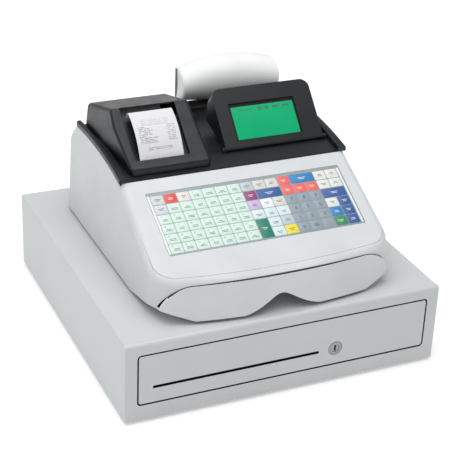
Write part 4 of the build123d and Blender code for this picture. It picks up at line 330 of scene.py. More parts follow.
def printed_receipt(name, colour):
    # The same paper with grey thermal print: a heading, rows of words with their sums
    # at the right, and two centred lines below them.
    made, tree, shader, place = surface(name, colour, Roughness=0.5)
    axes = add(tree, "SeparateXYZ", {"Vector": place})
    across, up = axes.outputs["X"], axes.outputs["Z"]
    letter = add(tree, "Math", {0: across, 1: LETTER_PITCH * MM}, operation="SNAP")
    row = add(tree, "Math", {0: up, 1: ROW_PITCH * MM}, operation="SNAP")
    inside = add(tree, "Math", {0: up, 1: row.outputs[0]}, operation="SUBTRACT")
    cell = add(tree, "CombineXYZ", {"X": letter.outputs[0], "Y": row.outputs[0]})
    ink = add(tree, "TexWhiteNoise", {"Vector": cell.outputs[0]}, noise_dimensions="3D")
    line = add(tree, "TexWhiteNoise", {"W": row.outputs[0]}, noise_dimensions="1D")
    words = add(tree, "Math", {0: ink.outputs["Value"], 1: INKED_SHARE}, operation="LESS_THAN")
    tall = add(tree, "Math", {0: inside.outputs[0], 1: LETTER_HEIGHT * MM}, operation="LESS_THAN")
    letters = add(tree, "Math", {0: words.outputs[0], 1: tall.outputs[0]}, operation="MULTIPLY")
    label_end = add(tree, "Math", {
        0: line.outputs["Value"], 1: LABEL_SPREAD * MM, 2: LABEL_END * MM},
        operation="MULTIPLY_ADD")
    total = 0.0
    for left, right, low, high, depth in (LABELS, SUMS, HEADING, TOTAL, GREETING):
        end = label_end.outputs[0] if right is None else right * MM
        area = add(tree, "Math", {
            0: band(tree, across, left * MM, end), 1: band(tree, up, low * MM, high * MM)},
            operation="MULTIPLY")
        total = add(tree, "Math", {0: area.outputs[0], 1: depth, 2: total},
                    operation="MULTIPLY_ADD").outputs[0]
    print_grey = add(tree, "Math", {0: total, 1: letters.outputs[0]}, operation="MULTIPLY")
    mixed = add(tree, "Mix", {
        "Factor": print_grey.outputs[0], MIX_A: colour, MIX_B: linear("#3C3F48")}, data_type="RGBA")
    tree.links.new(mixed.outputs[MIX_RESULT], shader.inputs["Base Color"])
    grain(tree, shader, place, 0.7, 0.08, 0.02)
    return made


def backlit_screen(name, colour):
    # Transflective liquid crystal over a green backlight that isn't quite even.
    made, tree, shader, place = surface(name, colour, Roughness=0.3, Specular_IOR_Level=0.15)
    glow = vary(tree, shader, place, 70.0, tone(colour, 0.94), tone(colour, 1.05))
    tree.links.new(glow.outputs["Color"], shader.inputs["Emission Color"])
    shader.inputs["Emission Strength"].default_value = 0.3
    grain(tree, shader, place, 2.5, 0.02, 0.02)
    return made


def smoked_acrylic(name):
    # Dark tinted acrylic: nearly black, with a deep polish.
    made, tree, shader, place = surface(name, linear("#15171B"), Roughness=0.07, IOR=1.49)
    vary(tree, shader, place, 30.0, linear("#131519"), linear("#1A1C21"))
    vary(tree, shader, place, 12.0, grey(0.05), grey(0.10), "Roughness")
    return made


def lit_segment(name, code, strength):
    # Fluorescent segments: even blue-green light.
    made, tree, shader, place = surface(name, linear(code), Roughness=0.5)
    glow = vary(tree, shader, place, 2.0, tone(linear(code), 0.85), linear(code))
    tree.links.new(glow.outputs["Color"], shader.inputs["Emission Color"])
    shader.inputs["Emission Strength"].default_value = strength
    return made


# The inks of the keys: the letter that ROWS uses, its name and its colour
INKS = {
    "m": ("mint", "#D6EBE1"), "g": ("pearl", "#D4D5D4"), "R": ("signal_red", "#E4524E"),
    "p": ("blush", "#E9DFDB"), "s": ("cool_grey", "#C3CCD3"), "l": ("light_grey", "#DADAD5"),
    "r": ("coral", "#EE6C66"), "B": ("mid_blue", "#2F82C0"), "w": ("white", "#E6E6E2"),
    "v": ("mist", "#D2D8DE"), "P": ("plum", "#93457F"), "D": ("deep_blue", "#355F9F"),
    "L": ("lavender", "#CDB8DF"), "W": ("ice", "#EEF4F6"), "n": ("slate", "#93A2AC"),
    "q": ("pale_aqua", "#D9EAEC"), "T": ("teal_green", "#12806A"), "Y": ("yellow", "#F1DF3E"),
    "G": ("leaf_green", "#35915A"),
}


def make_finishes(colours):
    """All the finishes, by the name of the slot or print that uses them."""
    cabinet, case, console = colours.cabinet[:], colours.case[:], colours.console[:]
    made = {
        "cabinet_paint": powder_coat("powder_coat_grey", cabinet),
        "cabinet_top": powder_coat("powder_coat_shell", cabinet),
        "case_white": moulded_abs("abs_grey_white", case, 0.46, 0.10),
        # A paler copy of the case plastic for the display head: painted light, for the light that
        # its upward face catches
        "head_white_painted_light": moulded_abs("abs_pale_white", linear("#F3F4F4"), 0.42, 0.06),
        "console_black": moulded_abs("abs_blue_black", console, 0.36, 0.16, 0.4),
        "key_film": printed_film("polyester_film_teal", linear("#86C6BC")),
        "film_grey": printed_film("polyester_film_grey", linear("#8A979E")),
        "film_rim": printed_film("polyester_film_rim", linear("#98A5AA")),
        "film_strip": printed_film("polyester_strip_white", linear("#F2F3F3")),
        "print_dark": printed_film("screen_ink_dark", linear("#3D4A55")),
        "print_white": printed_film("screen_ink_white", linear("#F0F4F6")),
        "board_green": circuit_board("fibreglass_board"),
        "steel": zinc_steel("zinc_plated_steel"),
        "chrome": nickel("polished_nickel"),
        "rubber": moulded_rubber("black_rubber"),
        "nylon": acetal("natural_acetal"),
        "tray_black": moulded_abs("black_polystyrene", linear("#2A2B2E"), 0.42, 0.2),
        # Near black: painted shade in gaps, seams, the lock's play, the keyway and the screws'
        # cross recesses, and the dark glass round the screen
        "black_and_painted_shade": moulded_abs("black_recess", linear("#0B0C0E"), 0.8, 0.2),
        "paper": thermal_paper("thermal_paper", colours.paper[:]),
        "receipt": printed_receipt("thermal_print", colours.paper[:]),
        "lcd": backlit_screen("backlit_liquid_crystal", colours.screen[:]),
        "lcd_mark": printed_film("liquid_crystal_marks", linear("#0E7F55")),
        "lens": smoked_acrylic("smoked_acrylic"),
        "segment": lit_segment("fluorescent_segments", "#5FF0D0", 2.2),
        "copper": wound_copper("lacquered_copper"),
    }
    for label, code in INKS.values():
        made["ink_" + label] = printed_film("screen_ink_" + label, linear(code))
    return made


FINISH = {}     # main fills it from make_finishes


# ---- modelling helpers

MERGE_WITHIN = 2e-6         # in metres, far below the smallest detail
FLAT_WITHIN = math.radians(0.3)
SOFT_ANGLE = math.radians(28.0)     # sharper edges are softened and stay edges in shade
PAD_CORNER_STEPS = 3
PAD_CROWN = 0.25            # a pad's softened top, as a share of its rise
LETTER_DEPTH = 0.04 * MM


def only(piece):
    """Selects one object and makes it the active one."""
    bpy.ops.object.select_all(action="DESELECT")
    piece.select_set(True)
    bpy.context.view_layer.objects.active = piece


def select_faces(piece, choose):
    """In edit mode, selects just the faces that a test picks."""
    form = bmesh.from_edit_mesh(piece.data)
    for part in [*form.faces, *form.edges, *form.verts]:
        part.select = False
    form.select_mode = {"FACE"}
    for face in form.faces:
        face.select = choose(face)
    form.select_flush_mode()
    bmesh.update_edit_mesh(piece.data)


def settle(piece, angle=30.0):
    """Smooths by angle and puts the object's place into its mesh."""
    only(piece)
    bpy.ops.object.transform_apply(location=True, rotation=True, scale=True)
    bpy.ops.object.shade_smooth_by_angle(angle=math.radians(angle))
    return piece


def modify(piece, kind, **settings):
    """Adds a modifier and applies it."""
    only(piece)
    made = piece.modifiers.new(kind.lower(), kind)
    for key, value in settings.items():
        setattr(made, key, value)
    bpy.ops.object.modifier_apply(modifier=made.name)


def dress(piece, body, finish, replaced=()):
    """Gives a piece its finish and the body that it rides on."""
    piece.data.materials.clear()
    piece.data.materials.append(FINISH[finish])
    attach(piece, body)
    if replaced:
        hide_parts(*replaced)
    return piece


def copy_of(master, name):
    """A copy of a modelled master with its own mesh."""
    made = bpy.data.objects.new(name, master.data.copy())
    bpy.context.scene.collection.objects.link(made)
    return made


def moved(piece, matrix):
    """Moves a piece's mesh and gives the piece."""
    piece.data.transform(matrix)
    return piece


def joined(pieces, name):
    """Several pieces as one mesh."""
    bpy.ops.object.select_all(action="DESELECT")
    for piece in pieces:
        piece.select_set(True)
    bpy.context.view_layer.objects.active = pieces[0]
    if len(pieces) > 1:
        bpy.ops.object.join()
    pieces[0].name = name
    return pieces[0]


def shell(node, body, slot, bevel, finish=None):
    """A merged copy of a moulded or pressed part, its sharp edges softened by a bevel in mm."""
    piece = bpy.data.objects.new(node + "_finished", NODES[node].data.copy())
    bpy.context.scene.collection.objects.link(piece)
    only(piece)
    bpy.ops.mesh.customdata_custom_splitnormals_clear()
    bpy.ops.object.mode_set(mode="EDIT")
    bpy.ops.mesh.select_all(action="SELECT")
    bpy.ops.mesh.remove_doubles(threshold=MERGE_WITHIN)
    bpy.ops.mesh.dissolve_limited(angle_limit=FLAT_WITHIN)
    bpy.ops.object.mode_set(mode="OBJECT")
    if bevel:
        modify(piece, "BEVEL", width=bevel * MM, segments=2, limit_method="ANGLE",
               angle_limit=SOFT_ANGLE, use_clamp_overlap=True)
    bpy.ops.object.shade_smooth_by_angle(angle=SOFT_ANGLE)
    modify(piece, "WEIGHTED_NORMAL", keep_sharp=True, weight=100)
    return dress(piece, body, finish or slot, [node])


def tint(piece, finish, choose):
    """Gives another finish to the faces that a test picks by centre and normal."""
    piece.data.materials.append(FINISH[finish])
    for face in piece.data.polygons:
        if choose(face.center, face.normal):
            face.material_index = len(piece.data.materials) - 1


def keep(slot, *nodes):
    """CAD nodes whose shape is right keep their mesh and get their finish."""
    for node in nodes:
        for holder in NODES[node].material_slots:
            holder.material = FINISH[slot]


def pad(name, width, height, corner, rise):
    """A flat pad with round corners, softened along its top edge, centred on its foot."""
    bpy.ops.object.select_all(action="DESELECT")
    bpy.ops.mesh.primitive_plane_add(size=1.0)
    piece = bpy.context.object
    piece.name = name
    piece.scale = (width, height, 1.0)
    bpy.ops.object.transform_apply(scale=True)
    bpy.ops.object.mode_set(mode="EDIT")
    bpy.ops.mesh.select_all(action="SELECT")
    if corner:
        bpy.ops.mesh.bevel(offset=corner, segments=PAD_CORNER_STEPS, affect="VERTICES")
    bpy.ops.mesh.select_all(action="SELECT")
    bpy.ops.mesh.extrude_region_move(TRANSFORM_OT_translate={"value": (0, 0, rise)})
    select_faces(piece, lambda face: face.calc_center_median().z > 0.9 * rise)
    # The soft edge is a little over a third of the rise wide, and never past a fifth across.
    soft_edge = min(0.35 * rise + 0.1 * MM, width / 5)
    bpy.ops.mesh.inset(thickness=soft_edge, depth=rise * PAD_CROWN)
    bpy.ops.mesh.select_all(action="SELECT")
    bpy.ops.mesh.normals_make_consistent(inside=False)
    bpy.ops.object.mode_set(mode="OBJECT")
    return piece


def pad_mm(name, sizes):
    """A pad whose width, height, corner and rise are given in millimetres."""
    return pad(name, *[size * MM for size in sizes])


def turned(name, profile, steps):
    """A turned part: a profile of (radius, height) points in mm, spun about Z."""
    bpy.ops.object.select_all(action="DESELECT")
    bpy.ops.mesh.primitive_plane_add(size=1.0)
    piece = bpy.context.object
    piece.name = name
    bpy.ops.object.mode_set(mode="EDIT")
    form = bmesh.from_edit_mesh(piece.data)
    form.clear()
    points = [form.verts.new((radius * MM, 0, up * MM)) for radius, up in profile]
    for one, two in zip(points, points[1:]):
        form.edges.new((one, two))
    bmesh.update_edit_mesh(piece.data)
    bpy.ops.mesh.select_all(action="SELECT")
    bpy.ops.mesh.spin(steps=steps, angle=2 * math.pi, center=(0, 0, 0), axis=(0, 0, 1))
    bpy.ops.mesh.select_all(action="SELECT")
    bpy.ops.mesh.remove_doubles(threshold=MERGE_WITHIN)
    bpy.ops.mesh.normals_make_consistent(inside=False)
    bpy.ops.object.mode_set(mode="OBJECT")
    return piece


def key_frame(x, up, out=0.0):
    """The place on the keyboard's slope at an x, a distance up it and one out of it."""
    turn = Matrix.Rotation(KEY_SLOPE, 4, "X")
    return Matrix.Translation(KEY_ORIGIN) @ turn @ Matrix.Translation((x, up, out))


def panel_frame(x, up, out=0.0):
    """The place on the operator display's face, from its hinge."""
    turn = Matrix.Rotation(PANEL_TILT, 4, "X")
    return Matrix.Translation(PANEL_HINGE) @ turn @ Matrix.Translation((x, up, out))


def lettering(body, size):
    """A short piece of lettering as a thin mesh, centred on the origin."""
    bpy.ops.object.text_add()
    made = bpy.context.object
    made.data.body = body
    made.data.size = size
    made.data.align_x = "CENTER"
    made.data.align_y = "CENTER"
    made.data.resolution_u = 2
    made.data.extrude = LETTER_DEPTH
    only(made)
    bpy.ops.object.convert(target="MESH")
    return bpy.context.object


# ---- stage

# Each lamp's name, place and width in metres, and the setting that holds its power
LAMPS = (
    ("top_lamp", (-0.25, -0.15, 1.7), 1.8, "key_light"),
    ("left_lamp", (-1.7, -0.9, 0.9), 1.4, "fill_light"),
)
LAMPS_AIM_AT = Vector((0.0, 0.0, 0.12))
SENSOR_WIDTH = 36.0
FLOOR_SIZE = 12.0

# The floor's own light as the camera sees it, at two distances from the object in metres
FLOOR_NEAR, FLOOR_FAR = 0.5, 2.2
FLOOR_NEAR_GLOW, FLOOR_FAR_GLOW = 0.31, 0.62


class REGISTER_OT_stage(bpy.types.Operator):
    """Camera, lamps, sky and floor"""
    bl_idname = "register.stage"
    bl_label = "Stage"

    def execute(self, context):
        stage = context.scene.register_stage
        context.scene.view_settings.view_transform = "Standard"
        yaw, pitch, roll = stage.yaw, stage.pitch, stage.roll
        ahead = Vector((
            math.sin(yaw) * math.cos(pitch), math.cos(yaw) * math.cos(pitch), -math.sin(pitch)))
        level = Vector((math.cos(yaw), -math.sin(yaw), 0))
        above = level.cross(ahead)
        right = level * math.cos(roll) + above * math.sin(roll)
        upward = above * math.cos(roll) - level * math.sin(roll)
        camera = bpy.data.objects.new("camera", bpy.data.cameras.new("camera"))
        camera.matrix_world = Matrix.Translation(stage.camera) @ Matrix(
            (right, upward, -ahead)).transposed().to_4x4()
        camera.data.lens = stage.lens
        camera.data.sensor_width = SENSOR_WIDTH
        context.scene.collection.objects.link(camera)
        context.scene.camera = camera
        for name, spot, size, power in LAMPS:
            lamp = bpy.data.objects.new(name, bpy.data.lights.new(name, "AREA"))
            lamp.data.size = size
            lamp.data.energy = getattr(stage, power)
            lamp.location = spot
            aim = LAMPS_AIM_AT - Vector(spot)
            lamp.rotation_euler = aim.to_track_quat("-Z", "Y").to_euler()
            context.scene.collection.objects.link(lamp)
        self.sky(context, stage)
        self.floor(context)
        return {"FINISHED"}

    def sky(self, context, stage):
        """Even light from all round, which the camera sees as plain white."""
        world = context.scene.world or bpy.data.worlds.new("studio")
        context.scene.world = world
        world.use_nodes = True
        tree = world.node_tree
        path = add(tree, "LightPath")
        seen = add(tree, "Math", {0: path.outputs["Is Camera Ray"],
                                  1: path.outputs["Is Transmission Ray"]}, operation="MAXIMUM")
        lift = add(tree, "Mix", {"Factor": seen.outputs[0], "A": stage.sky, "B": 1.0})
        back = tree.nodes["Background"]
        back.inputs["Color"].default_value = (1, 1, 1, 1)
        tree.links.new(lift.outputs["Result"], back.inputs["Strength"])

    def floor(self, context):
        """Matt white card: bright in the camera's view, but it keeps the soft shadow."""
        made, tree, shader, place = surface("studio_card", linear("#F4F4F4"), Roughness=0.9)
        grain(tree, shader, place, 4.0, 0.03)
        path = add(tree, "LightPath")
        shown = add(tree, "Math", {0: path.outputs["Is Camera Ray"],
                                   1: path.outputs["Is Glossy Ray"]}, operation="MAXIMUM")
        away = add(tree, "VectorMath", {0: place}, operation="LENGTH")
        # Brighter away from the object, where the lamps fall off.
        even = add(tree, "MapRange", {
            "Value": away.outputs["Value"], "From Min": FLOOR_NEAR, "From Max": FLOOR_FAR,
            "To Min": FLOOR_NEAR_GLOW, "To Max": FLOOR_FAR_GLOW})
        lift = add(tree, "Math", {0: shown.outputs[0], 1: even.outputs[0]},
                   operation="MULTIPLY")
        tree.links.new(lift.outputs[0], shader.inputs["Emission Strength"])
        shader.inputs["Emission Color"].default_value = (1, 1, 1, 1)
        bpy.ops.object.select_all(action="DESELECT")
        bpy.ops.mesh.primitive_grid_add(x_subdivisions=8, y_subdivisions=8, size=FLOOR_SIZE)
        card = context.object
        card.name = "studio_floor"
        card.data.materials.append(made)


# ---- cabinet

EDGE_ON = 0.6       # a face whose normal has less than this towards the front is an edge

# The front frame's opening, whose edges get painted shade, in millimetres
OPENING_HALF = 190.0
OPENING_LOW = 20.0
OPENING_HIGH = 95.0

# Pan-head screws of the back plate, in millimetres
SCREW_PROFILE = ((0.0, 1.3), (1.2, 1.25), (2.4, 0.9), (3.1, 0.3), (3.2, 0.0), (0.0, 0.0))
SCREW_STEPS = 20
SCREW_SMOOTHING = 40.0      # degrees, so that the head's curve has no facets
SCREWS_ACROSS = (-190.0, -65.0, 65.0, 190.0)
SCREWS_UP = (24.0, 99.0)
RECESS = (2.8, 0.55, 0, 0.1)        # a pad's width, height, corner and rise
RECESS_FOOT = 1.22


class REGISTER_OT_cabinet(bpy.types.Operator):
    """Steel cabinet, its frame, back, floor, feet, runners, rollers and latch"""
    bl_idname = "register.cabinet"
    bl_label = "Cabinet"

    def execute(self, context):
        shell("cabinet_shell", ROOT, "cabinet_top", 0.5)
        front = shell("front_frame", ROOT, "cabinet_paint", 0.5)
        # Painted shade on the faces round the opening.
        tint(front, "black_and_painted_shade", lambda centre, normal: (
            abs(normal.y) < EDGE_ON and abs(centre.x) < OPENING_HALF * MM
            and OPENING_LOW * MM < centre.z < OPENING_HIGH * MM))
        shell("back_plate", ROOT, "cabinet_top", 0.25)
        keep("steel", "base_plate", "cabinet_runners", "front_studs", "latch_bracket",
             "latch_hook", "solenoid_plunger", "ejector")
        keep("rubber", "cabinet_feet", "register_feet")
        keep("nylon", "front_rollers", "rear_rollers")
        keep("copper", "solenoid")
        self.screws()
        return {"FINISHED"}

    def screws(self):
        """Pan-head screws that hold the back plate, each with a cross recess drawn as a raised pad
        of painted shade.
        """
        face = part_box("back_plate")[1].y
        master = turned("screw", SCREW_PROFILE, SCREW_STEPS)
        slot = pad_mm("recess", RECESS)
        cross = moved(copy_of(slot, "recess_across"), Matrix.Rotation(math.pi / 2, 4, "Z"))
        recess = joined([slot, cross], "screw_recess")
        moved(recess, Matrix.Translation((0, 0, RECESS_FOOT * MM)))
        turn = Matrix.Rotation(-math.pi / 2, 4, "X")
        heads, marks = [], []
        for x in SCREWS_ACROSS:
            for z in SCREWS_UP:
                spot = Matrix.Translation((x * MM, face, z * MM)) @ turn
                heads.append(moved(copy_of(master, "back_screw"), spot))
                marks.append(moved(copy_of(recess, "back_recess"), spot))
        bpy.data.objects.remove(master)
        bpy.data.objects.remove(recess)
        dress(settle(joined(heads, "back_screws"), SCREW_SMOOTHING), ROOT, "steel")
        # The cross recesses are pads of painted shade on the heads.
        dress(settle(joined(marks, "back_screw_recesses")), ROOT, "black_and_painted_shade")


# ---- drawer

NOTE_CLIPS = 4

# The keyway's painted shade as a pad, and where painted shade fills the lock's play, in millimetres
KEYWAY = (2.3, 8.0, 0.5, 0.3)
KEYWAY_BEHIND = 8.6         # from the lock's place
LOCK_SHADE_ENDS = -200.0    # only what lies in front of this is shaded
LOCK_EDGE_ON = 0.4


class REGISTER_OT_drawer(bpy.types.Operator):
    """Drawer with its front, lock, rails, tray and note clips"""
    bl_idname = "register.drawer"
    bl_label = "Drawer"

    def execute(self, context):
        front = shell("drawer_front", "drawer", "cabinet_paint", 0.3)
        # Painted shade on the edges round the slot and the front.
        tint(front, "black_and_painted_shade", lambda centre, normal: abs(normal.y) < EDGE_ON)
        shell("drawer_pan", "drawer", "steel", 0.25)
        shell("drawer_rails", "drawer", "steel", 0.25)
        keep("steel", "rear_studs", "striker", "clip_rod")
        shell("tray_tub", "drawer", "tray_black", 0.6)
        shell("tray_dividers", "drawer", "tray_black", 0.5)
        shell("cross_walls", "drawer", "tray_black", 0.5)
        for number in range(1, NOTE_CLIPS + 1):
            name = "note_clip_" + str(number)
            shell(name, name, "tray_black", 0.3)
        self.lock()
        return {"FINISHED"}

    def lock(self):
        """Plated ring and plug, with painted shade in the keyway and in the play between them."""
        ring = shell("lock_body", "drawer", "chrome", 0.25)
        plug = shell("lock_plug", "lock_plug", "chrome", 0.2)
        for piece in (ring, plug):
            # Painted shade on the play between ring and plug, and behind the flange.
            tint(piece, "black_and_painted_shade", lambda centre, normal: (
                abs(normal.y) < LOCK_EDGE_ON and centre.y < LOCK_SHADE_ENDS * MM))
        # A pad of painted shade at the back of the keyway.
        well = pad_mm("keyway_well", KEYWAY)
        spot = Matrix.Translation(LOCK_AT + Vector((0, KEYWAY_BEHIND * MM, 0)))
        moved(well, spot @ Matrix.Rotation(math.pi / 2, 4, "X"))
        dress(settle(well), "lock_plug", "black_and_painted_shade")


# ---- case

# Edges with painted shade: the skirt's upward faces, out to a half width in millimetres, and the
# plate's faces that don't look out of its slope
SKIRT_SHADE_HALF = 142.0
SKIRT_FACES_UP = 0.7
PLATE_FACES_OUT = 0.4

# Dust strips, in millimetres
STRIP_FROM_SIDE = 0.6
STRIP_GAP = 0.8             # from the collar, and from the post's front and back
STRIP_CORNER = 0.8
STRIP_RISE = 2.0
STRIP_SUNK = 0.05


class REGISTER_OT_case(bpy.types.Operator):
    """Grey-white case, its skirt, keyboard plate, display post and boards"""
    bl_idname = "register.case"
    bl_label = "Case"

    def execute(self, context):
        shell("lower_case", ROOT, "case_white", 0.4)
        skirt = shell("front_skirt", ROOT, "case_white", 0.5)
        # Painted shade on the skirt's upward faces under the keyboard plate.
        tint(skirt, "black_and_painted_shade", lambda centre, normal: (
            normal.z > SKIRT_FACES_UP and abs(centre.x) < SKIRT_SHADE_HALF * MM))
        shell("upper_case", ROOT, "case_white", 0.4)
        plate = shell("keyboard_plate", ROOT, "case_white", 0.6)
        # Painted shade on the plate's faces that turn away from its slope, in its seam.
        out = Vector((0, -math.sin(KEY_SLOPE), math.cos(KEY_SLOPE)))
        tint(plate, "black_and_painted_shade", lambda centre, normal: normal.dot(out) < PLATE_FACES_OUT)
        shell("post_base", ROOT, "console_black", 0.4)
        self.dust_strips()
        shell("socket_panel", ROOT, "console_black", 0.3)
        keep("board_green", "keyboard_board", "main_board")
        keep("copper", "transformer")
        return {"FINISHED"}

    def dust_strips(self):
        """Black rubber strips on the post, on both sides of the turning stem's collar."""
        low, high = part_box("post_base")
        collar_low, collar_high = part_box("head_stem")
        tall = high.y - low.y - 2 * STRIP_GAP * MM
        strips = []
        for start, end in (
                (low.x + STRIP_FROM_SIDE * MM, collar_low.x - STRIP_GAP * MM),
                (collar_high.x + STRIP_GAP * MM, high.x - STRIP_FROM_SIDE * MM)):
            strip = pad("dust_strip", end - start, tall, STRIP_CORNER * MM, STRIP_RISE * MM)
            middle = ((start + end) / 2, (low.y + high.y) / 2, high.z - STRIP_SUNK * MM)
            strips.append(moved(strip, Matrix.Translation(middle)))
        dress(settle(joined(strips, "dust_strips")), ROOT, "rubber")


# ---- keyboard

# The keys' inks, from the back row to the front: "-" widens the key before it, and "|"
# lengthens the key behind it
ROWS = (
    "gRpmmmmsllrB-ww",
    "vmmmmmmPD-rrrww",
    "mmmmmmmLWlnnnD-",
    "mmmmmmmqqqnnnwD",
    "mmmmmmmTqsnnnBD",
    "mmmmmmm|qYnnnGD",
)
DIGITS = ("789", "456", "123", "0:.")   # ":" stands for 00
DIGITS_ROW, DIGITS_COLUMN = 2, 10
NUMBERED_COLUMNS = 7
NUMBERED_INKS = "mq"
PALE_PRINT_INKS = "RrBPDTG"

# The film, in millimetres
FILM_LENGTH = 92.0
FILM_PLAY = 0.2
FILM_THICKNESS = 0.8
FIELD_RISE = 0.06
END_STRIP_WIDTH = 2.6
END_STRIP_RISE = 0.5
LEFT_STRIP_AWAY = 1.75
RIGHT_STRIP_AWAY = 2.1

# Print on the keys, in millimetres
KEY_LIFT = 0.02
PRINT_LIFT = 0.01
DIGIT_SIZE = 6.5
NUMBER_SIZE = 2.6
NUMBER_LEFT = 3.6
NUMBER_UP = 3.4
BAR_WIDTH = 0.7
BAR_RISE = 0.03
BAR_PITCH = 2.0
BARS_LOWERED = 1.4          # where a number may stand above them
NUMBERED_BARS = (8.0, 9.5)
PLAIN_BARS = (8.5, 6.0)
WIDE_BARS = (12.0, 9.0)
BAR_SHORTER = 0.12          # share that each of the shorter words loses


class REGISTER_OT_keyboard(bpy.types.Operator):
    """Printed film with embossed keys, their marks and the end strips"""
    bl_idname = "register.keyboard"
    bl_label = "Keyboard"

    def execute(self, context):
        sizes = context.scene.register_keyboard
        self.film(sizes)
        self.keys(sizes)
        self.marks(sizes)
        return {"FINISHED"}

    def film(self, sizes):
        """The film under the keys, its two fields just below its face, and two end strips."""
        low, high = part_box("keyboard_sheet")
        base = pad("keyboard_film", high.x - low.x - FILM_PLAY * MM,
                   (FILM_LENGTH - FILM_PLAY) * MM, 0, FILM_THICKNESS * MM)
        middle = (high.x + low.x) / 2
        moved(base, key_frame(middle, FILM_LENGTH / 2 * MM, -FILM_THICKNESS * MM))
        dress(settle(base), ROOT, "film_rim", ["keyboard_sheet"])
        split = sizes.left + NUMBERED_COLUMNS * sizes.pitch_x
        right = sizes.left + len(ROWS[0]) * sizes.pitch_x
        tall = len(ROWS) * sizes.pitch_y
        fields = (
            ("film_field_left", sizes.left, split, "key_film"),
            ("film_field_right", split, right, "film_grey"),
        )
        for name, start, end, finish in fields:
            field = pad(name, end - start, tall, 0, FIELD_RISE * MM)
            moved(field, key_frame((start + end) / 2, sizes.low + tall / 2))
            dress(settle(field), ROOT, finish)
        strips = []
        for x in (sizes.left - LEFT_STRIP_AWAY * MM, right + RIGHT_STRIP_AWAY * MM):
            strip = pad("film_strip", END_STRIP_WIDTH * MM, tall, END_STRIP_RISE * MM,
                        END_STRIP_RISE * MM)
            strips.append(moved(strip, key_frame(x, sizes.low + tall / 2)))
        dress(settle(joined(strips, "film_end_strips")), ROOT, "film_strip")

    def cells(self):
        """Each key as its ink, its column and row, and how many cells it covers."""
        for row, line in enumerate(ROWS):
            for column, ink in enumerate(line):
                if ink in "-|":
                    continue
                wide = 2 if line[column + 1:column + 2] == "-" else 1
                below = ROWS[row + 1][column] if row + 1 < len(ROWS) else ""
                yield ink, column, row, wide, 2 if below == "|" else 1

    def spot(self, sizes, column, row, wide, high):
        """The middle of a key, across and up the slope."""
        x = sizes.left + (column + wide / 2) * sizes.pitch_x
        up = sizes.low + (len(ROWS) - row - high / 2) * sizes.pitch_y
        return x, up

    def keys(self, sizes):
        """Every key is a copy of one of three masters, joined by ink."""
        masters = {}
        for wide, high in ((1, 1), (2, 1), (1, 2)):
            masters[wide, high] = pad(
                "key_master", wide * sizes.pitch_x - sizes.gap, high * sizes.pitch_y - sizes.gap,
                sizes.corner, sizes.rise)
        inks = {}
        for ink, column, row, wide, high in self.cells():
            key = copy_of(masters[wide, high], "key")
            x, up = self.spot(sizes, column, row, wide, high)
            inks.setdefault(ink, []).append(moved(key, key_frame(x, up, KEY_LIFT * MM)))
        for master in masters.values():
            bpy.data.objects.remove(master)
        for ink, group in inks.items():
            label = INKS[ink][0]
            dress(settle(joined(group, "keys_" + label)), ROOT, "ink_" + label)

    def marks(self, sizes):
        """Digits on the number keys, numbers on the mint keys and short bars on the others."""
        top = sizes.rise * (1 + PAD_CROWN) + (KEY_LIFT + PRINT_LIFT) * MM
        dark, pale = [], []
        number = 0
        bar = pad("mark_bar", 1.0, BAR_WIDTH * MM, 0, BAR_RISE * MM)
        for ink, column, row, wide, high in self.cells():
            x, up = self.spot(sizes, column, row, wide, high)
            if ink == "n":
                digit = DIGITS[row - DIGITS_ROW][column - DIGITS_COLUMN].replace(":", "00")
                dark.append(moved(lettering(digit, DIGIT_SIZE * MM), key_frame(x, up, top)))
                continue
            numbered = ink in NUMBERED_INKS and column < NUMBERED_COLUMNS
            if numbered:
                number += 1
                corner = key_frame(x - NUMBER_LEFT * MM, up + NUMBER_UP * MM, top)
                dark.append(moved(lettering(str(number), NUMBER_SIZE * MM), corner))
            bars = NUMBERED_BARS if numbered else PLAIN_BARS if wide == 1 else WIDE_BARS
            lowered = BARS_LOWERED if ink in NUMBERED_INKS else 0.0
            for line, length in enumerate(bars):
                shift = (0.5 - line) * BAR_PITCH - lowered
                # Words of four lengths, dealt out by the key's place
                share = 1.0 - BAR_SHORTER * ((column * 3 + row * 5 + line) % 4)
                scale = Matrix.Diagonal((length * share * MM, 1, 1, 1))
                mark = moved(copy_of(bar, "mark"), key_frame(x, up + shift * MM, top) @ scale)
                (pale if ink in PALE_PRINT_INKS else dark).append(mark)
        bpy.data.objects.remove(bar)
        dress(settle(joined(dark, "key_marks_dark")), ROOT, "print_dark")
        dress(settle(joined(pale, "key_marks_pale")), ROOT, "print_white")


# ---- console and printer

class REGISTER_OT_printer(bpy.types.Operator):
    """Black console, printer cover, receipt, roll and the mechanism below"""
    bl_idname = "register.printer"
    bl_label = "Printer"

    def execute(self, context):
        shell("console_cover", ROOT, "console_black", 0.35)
        shell("printer_cover", "printer_cover", "console_black", 0.4)
        shell("paper_strip", "printer_cover", "paper", 0, "receipt")
        keep("paper", "paper_web", "paper_roll")
        keep("steel", "tear_bar", "printer_frame", "motor_pinion", "printer_motor")
        keep("nylon", "platen_gear", "idler_gear", "thermal_head")
        keep("rubber", "platen_roller")
        return {"FINISHED"}


# ---- operator's display

# The lit screen as a pad, in millimetres, and its middle across and up from the hinge
SCREEN_AT = (63.3, 31.35)
SCREEN_HEIGHT = 44.0
SCREEN_RISE = 0.12
SCREEN = (86.5, SCREEN_HEIGHT, 1.0, SCREEN_RISE)
SCREEN_LIFT = 0.01

# Marks along the screen's top, from its middle: where each starts, its length and height
SCREEN_MARKS = ((-34, 20, 1.0), (-6, 5, 4.5), (3, 5, 4.5), (14, 9, 3.0), (27, 11, 3.0))
SCREEN_MARKS_DOWN = 5.0
SCREEN_MARK_RISE = 0.04


